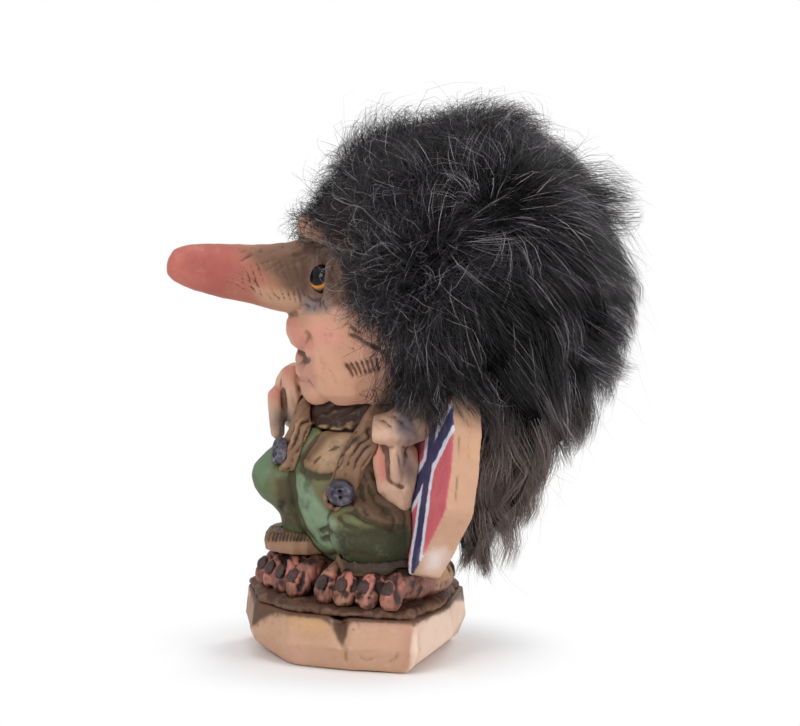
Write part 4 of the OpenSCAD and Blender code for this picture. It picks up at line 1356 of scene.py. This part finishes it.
tufts = leaders(TUFTS, 0.25, 0.9, 1.6, 5.0)
locks = leaders(LOCKS, 0.30, 0.6, 1.2, 1.2, tufts, 0.8)
lock_tone_and_sheen = rng.uniform(0, 1, LOCKS) ** 1.2


# %% Strands and curls
def strands(ground, count, thick, clump, wander, reach=1.0, flat_length=None):
    """Hairs that follow the nearest lock, the less the curlier the fur is where they grow."""
    root, normal = ground.scatter(count)
    loose = frizz(root)
    crowned = messy(root)
    astray = rng.normal(0, 1, count) * (wander + 0.9 * loose + 0.9 * crowned)
    way = turned(flow(root, normal), normal, astray)
    full_length = hair_length(root) if flat_length is None else flat_length
    length = full_length * rng.uniform(0.7, 1.1, count) * MM * reach
    lift = rng.uniform(0.4, 1.0, count) * (0.5 + 0.5 * np.maximum(loose, crowned))
    own = paths(root, normal, way, length, lift, rng.uniform(0.0, 0.15, count))
    pull = clump * (1 - 0.65 * loose) * (1 - 0.4 * crowned) * rng.uniform(0.55, 1, count)
    path, owner = led(own, root, locks, pull)
    t = np.linspace(0, 1, RINGS + 1)[None, :, None]
    wave = rng.normal(0, 1, (count, 1, 3)) * np.sin(rng.uniform(2, 6, (count, 1, 1)) * t
                                                    + rng.uniform(0, 6, (count, 1, 1)))
    path += wave * (0.22 + 1.0 * loose)[:, None, None] * MM * t ** 0.7
    tone = np.clip(lock_tone_and_sheen[owner] * 0.65 + rng.normal(0.16, 0.2, count), 0, 1)
    if flat_length:
        tone = tone * 0.7
    return path, thick * rng.uniform(0.6, 1.2, count) * MM, tone


def curls(ground, count, thick, radius, rise, share=None):
    """Loose hairs that bend round in arcs over the fur."""
    root, normal = ground.scatter(count * 3)
    keep = rng.random(count * 3) < (frizz(root) ** 1.5 if share is None else share)
    root, normal = root[keep][:count], normal[keep][:count]
    count = len(root)
    t = np.linspace(0, 1, 9)[None, :, None]
    way = turned(flow(root, normal), normal, rng.uniform(-1.6, 1.6, count))
    tilt = normal + 0.5 * rng.normal(0, 1, (count, 3))
    tilt /= np.linalg.norm(tilt, axis=1)[:, None]
    side = np.cross(tilt, way)
    r = rng.uniform(*radius, count)[:, None, None] * MM
    sweep = rng.uniform(1.2, 3.6, count)[:, None, None] * t
    sweep = sweep * np.where(rng.random(count) < 0.5, 1, -1)[:, None, None]
    bent = side[:, None] * r * (1 - np.cos(sweep)) * np.sign(sweep)
    risen = normal[:, None] * rng.uniform(*rise, count)[:, None, None] * MM * (1 - (1 - t) ** 3)
    path = root[:, None] + way[:, None] * r * np.sin(np.abs(sweep)) + bent + risen
    # Curls sit high on the tone ramp, so they carry painted grey sheen.
    return path, thick * rng.uniform(0.7, 1.1, count) * MM, np.clip(rng.normal(0.76, 0.16, count), 0, 1)


# %% One mesh of fur
PAST_LOW = 2.4 * MM
PAST_HIGH = np.array([2.4, 3.4, 4.3]) * MM


def fur_mesh(name, path, thick, tone):
    """Closed three-sided spikes along the paths, all in one mesh."""
    count, rings = len(path), path.shape[1] - 1
    path = np.minimum(np.maximum(path, np.array(cad_box[0]) - PAST_LOW), np.array(cad_box[1]) + PAST_HIGH)
    ways = np.gradient(path, axis=1)
    ways /= np.linalg.norm(ways, axis=2)[:, :, None] + 1e-12
    first = np.cross(ways, np.array([0.31, 0.52, 0.79]))
    first /= np.linalg.norm(first, axis=2)[:, :, None] + 1e-12
    second = np.cross(ways, first)
    width = thick[:, None] * np.linspace(1, 0.35, rings)[None, :] / 2
    ring = []
    for k in range(3):
        angle = 2 * math.pi * k / 3
        out = math.cos(angle) * first[:, :rings] + math.sin(angle) * second[:, :rings]
        ring.append(path[:, :rings] + out * width[:, :, None])
    body = np.stack(ring, axis=2).reshape(count, rings * 3, 3)
    points = np.concatenate([body, path[:, -1:]], axis=1)
    faces = [(2, 1, 0)]
    for r in range(rings - 1):
        for k in range(3):
            a, b = r * 3 + k, r * 3 + (k + 1) % 3
            faces += [(a, b, b + 3), (a, b + 3, a + 3)]
    last = (rings - 1) * 3
    faces += [(last + k, last + (k + 1) % 3, rings * 3) for k in range(3)]
    faces = np.array(faces)
    per = rings * 3 + 1
    loops = (faces[None] + (np.arange(count) * per)[:, None, None]).reshape(-1)
    mesh = bpy.data.meshes.new(name)
    mesh.vertices.add(count * per)
    mesh.vertices.foreach_set("co", points.ravel())
    mesh.loops.add(len(loops))
    mesh.loops.foreach_set("vertex_index", loops.astype(np.int32))
    mesh.polygons.add(len(loops) // 3)
    mesh.polygons.foreach_set("loop_start", np.arange(0, len(loops), 3, dtype=np.int32))
    mesh.polygons.foreach_set("use_smooth", np.ones(len(loops) // 3, bool))
    mesh.update(calc_edges=True)
    along = np.concatenate([np.repeat(np.linspace(0, 0.85, rings), 3), [1.0]])
    mesh.attributes.new("along", "FLOAT", "POINT").data.foreach_set("value", np.tile(along, count))
    mesh.attributes.new("tone", "FLOAT", "POINT").data.foreach_set("value", np.repeat(tone, per))
    mesh.materials.append(fur_material)
    obj = bpy.data.objects.new(name, mesh)
    scene.collection.objects.link(obj)
    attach(obj, "root")
    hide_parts("wig")
    print(f"{name}: {count} hairs, {len(loops) // 3} triangles")


# %% Fur material
fur_coat = Coat("black_fur_hair")
tone = fur_coat.attribute("tone")
along = fur_coat.attribute("along")
# The tone runs from black to light grey: the light end is painted sheen on the locks.
colour = fur_coat.ramp(tone, (0.0, tint(4, 4, 5)), (0.5, tint(24, 22, 26)), (0.8, tint(72, 66, 71)),
                       (1.0, tint(196, 186, 190)))
height = fur_coat.node("ShaderNodeSeparateXYZ", {}, {"Vector": fur_coat.place}, output=2)
brown = fur_coat.ramp(tone, (0.0, tint(78, 65, 60)), (0.6, tint(158, 136, 127)), (1.0, tint(208, 190, 180)))
colour = fur_coat.mix(fur_coat.mask(height, 0.080, 0.040) * 0.8, colour, brown)
# Painted shade: every hair darkens to near-black towards its root, as deep inside the fur.
colour = fur_coat.mix(fur_coat.mask(along, 0.6, 0.1) * 0.8, colour, tint(5, 5, 6))
fur_material = fur_coat.set(base_color=colour, roughness=0.42, specular_ior_level=0.4)

# %% Grow the fur
few = 1.0
for k in range(PIECES):
    fur_mesh(f"fur_{k + 1:02d}", *strands(scalp, PER_PIECE, 0.20, 0.95, 0.2))
fur_mesh("fur_strays", *strands(scalp, int(1600 * few), 0.10, 0.1, 0.8, 1.3))
fur_mesh("fur_temples", *strands(forehead, int(6600 * few), 0.16, 0.0, 0.6, 1.0, 5.5))
fur_mesh("fur_curls", *curls(scalp, int(2800 * few), 0.13, (2.0, 5.5), (8.0, 12.5)))
fur_mesh("fur_temple_curls", *curls(forehead, int(1000 * few), 0.10, (1.5, 4.0), (2.0, 5.5), 0.9))

# %% [markdown]
# ## Size
#
# The fur may stand a little past the CAD box, and nothing else may. The bounds of the dressed scene
# are measured here.

# %% Measure the size
low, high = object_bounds()
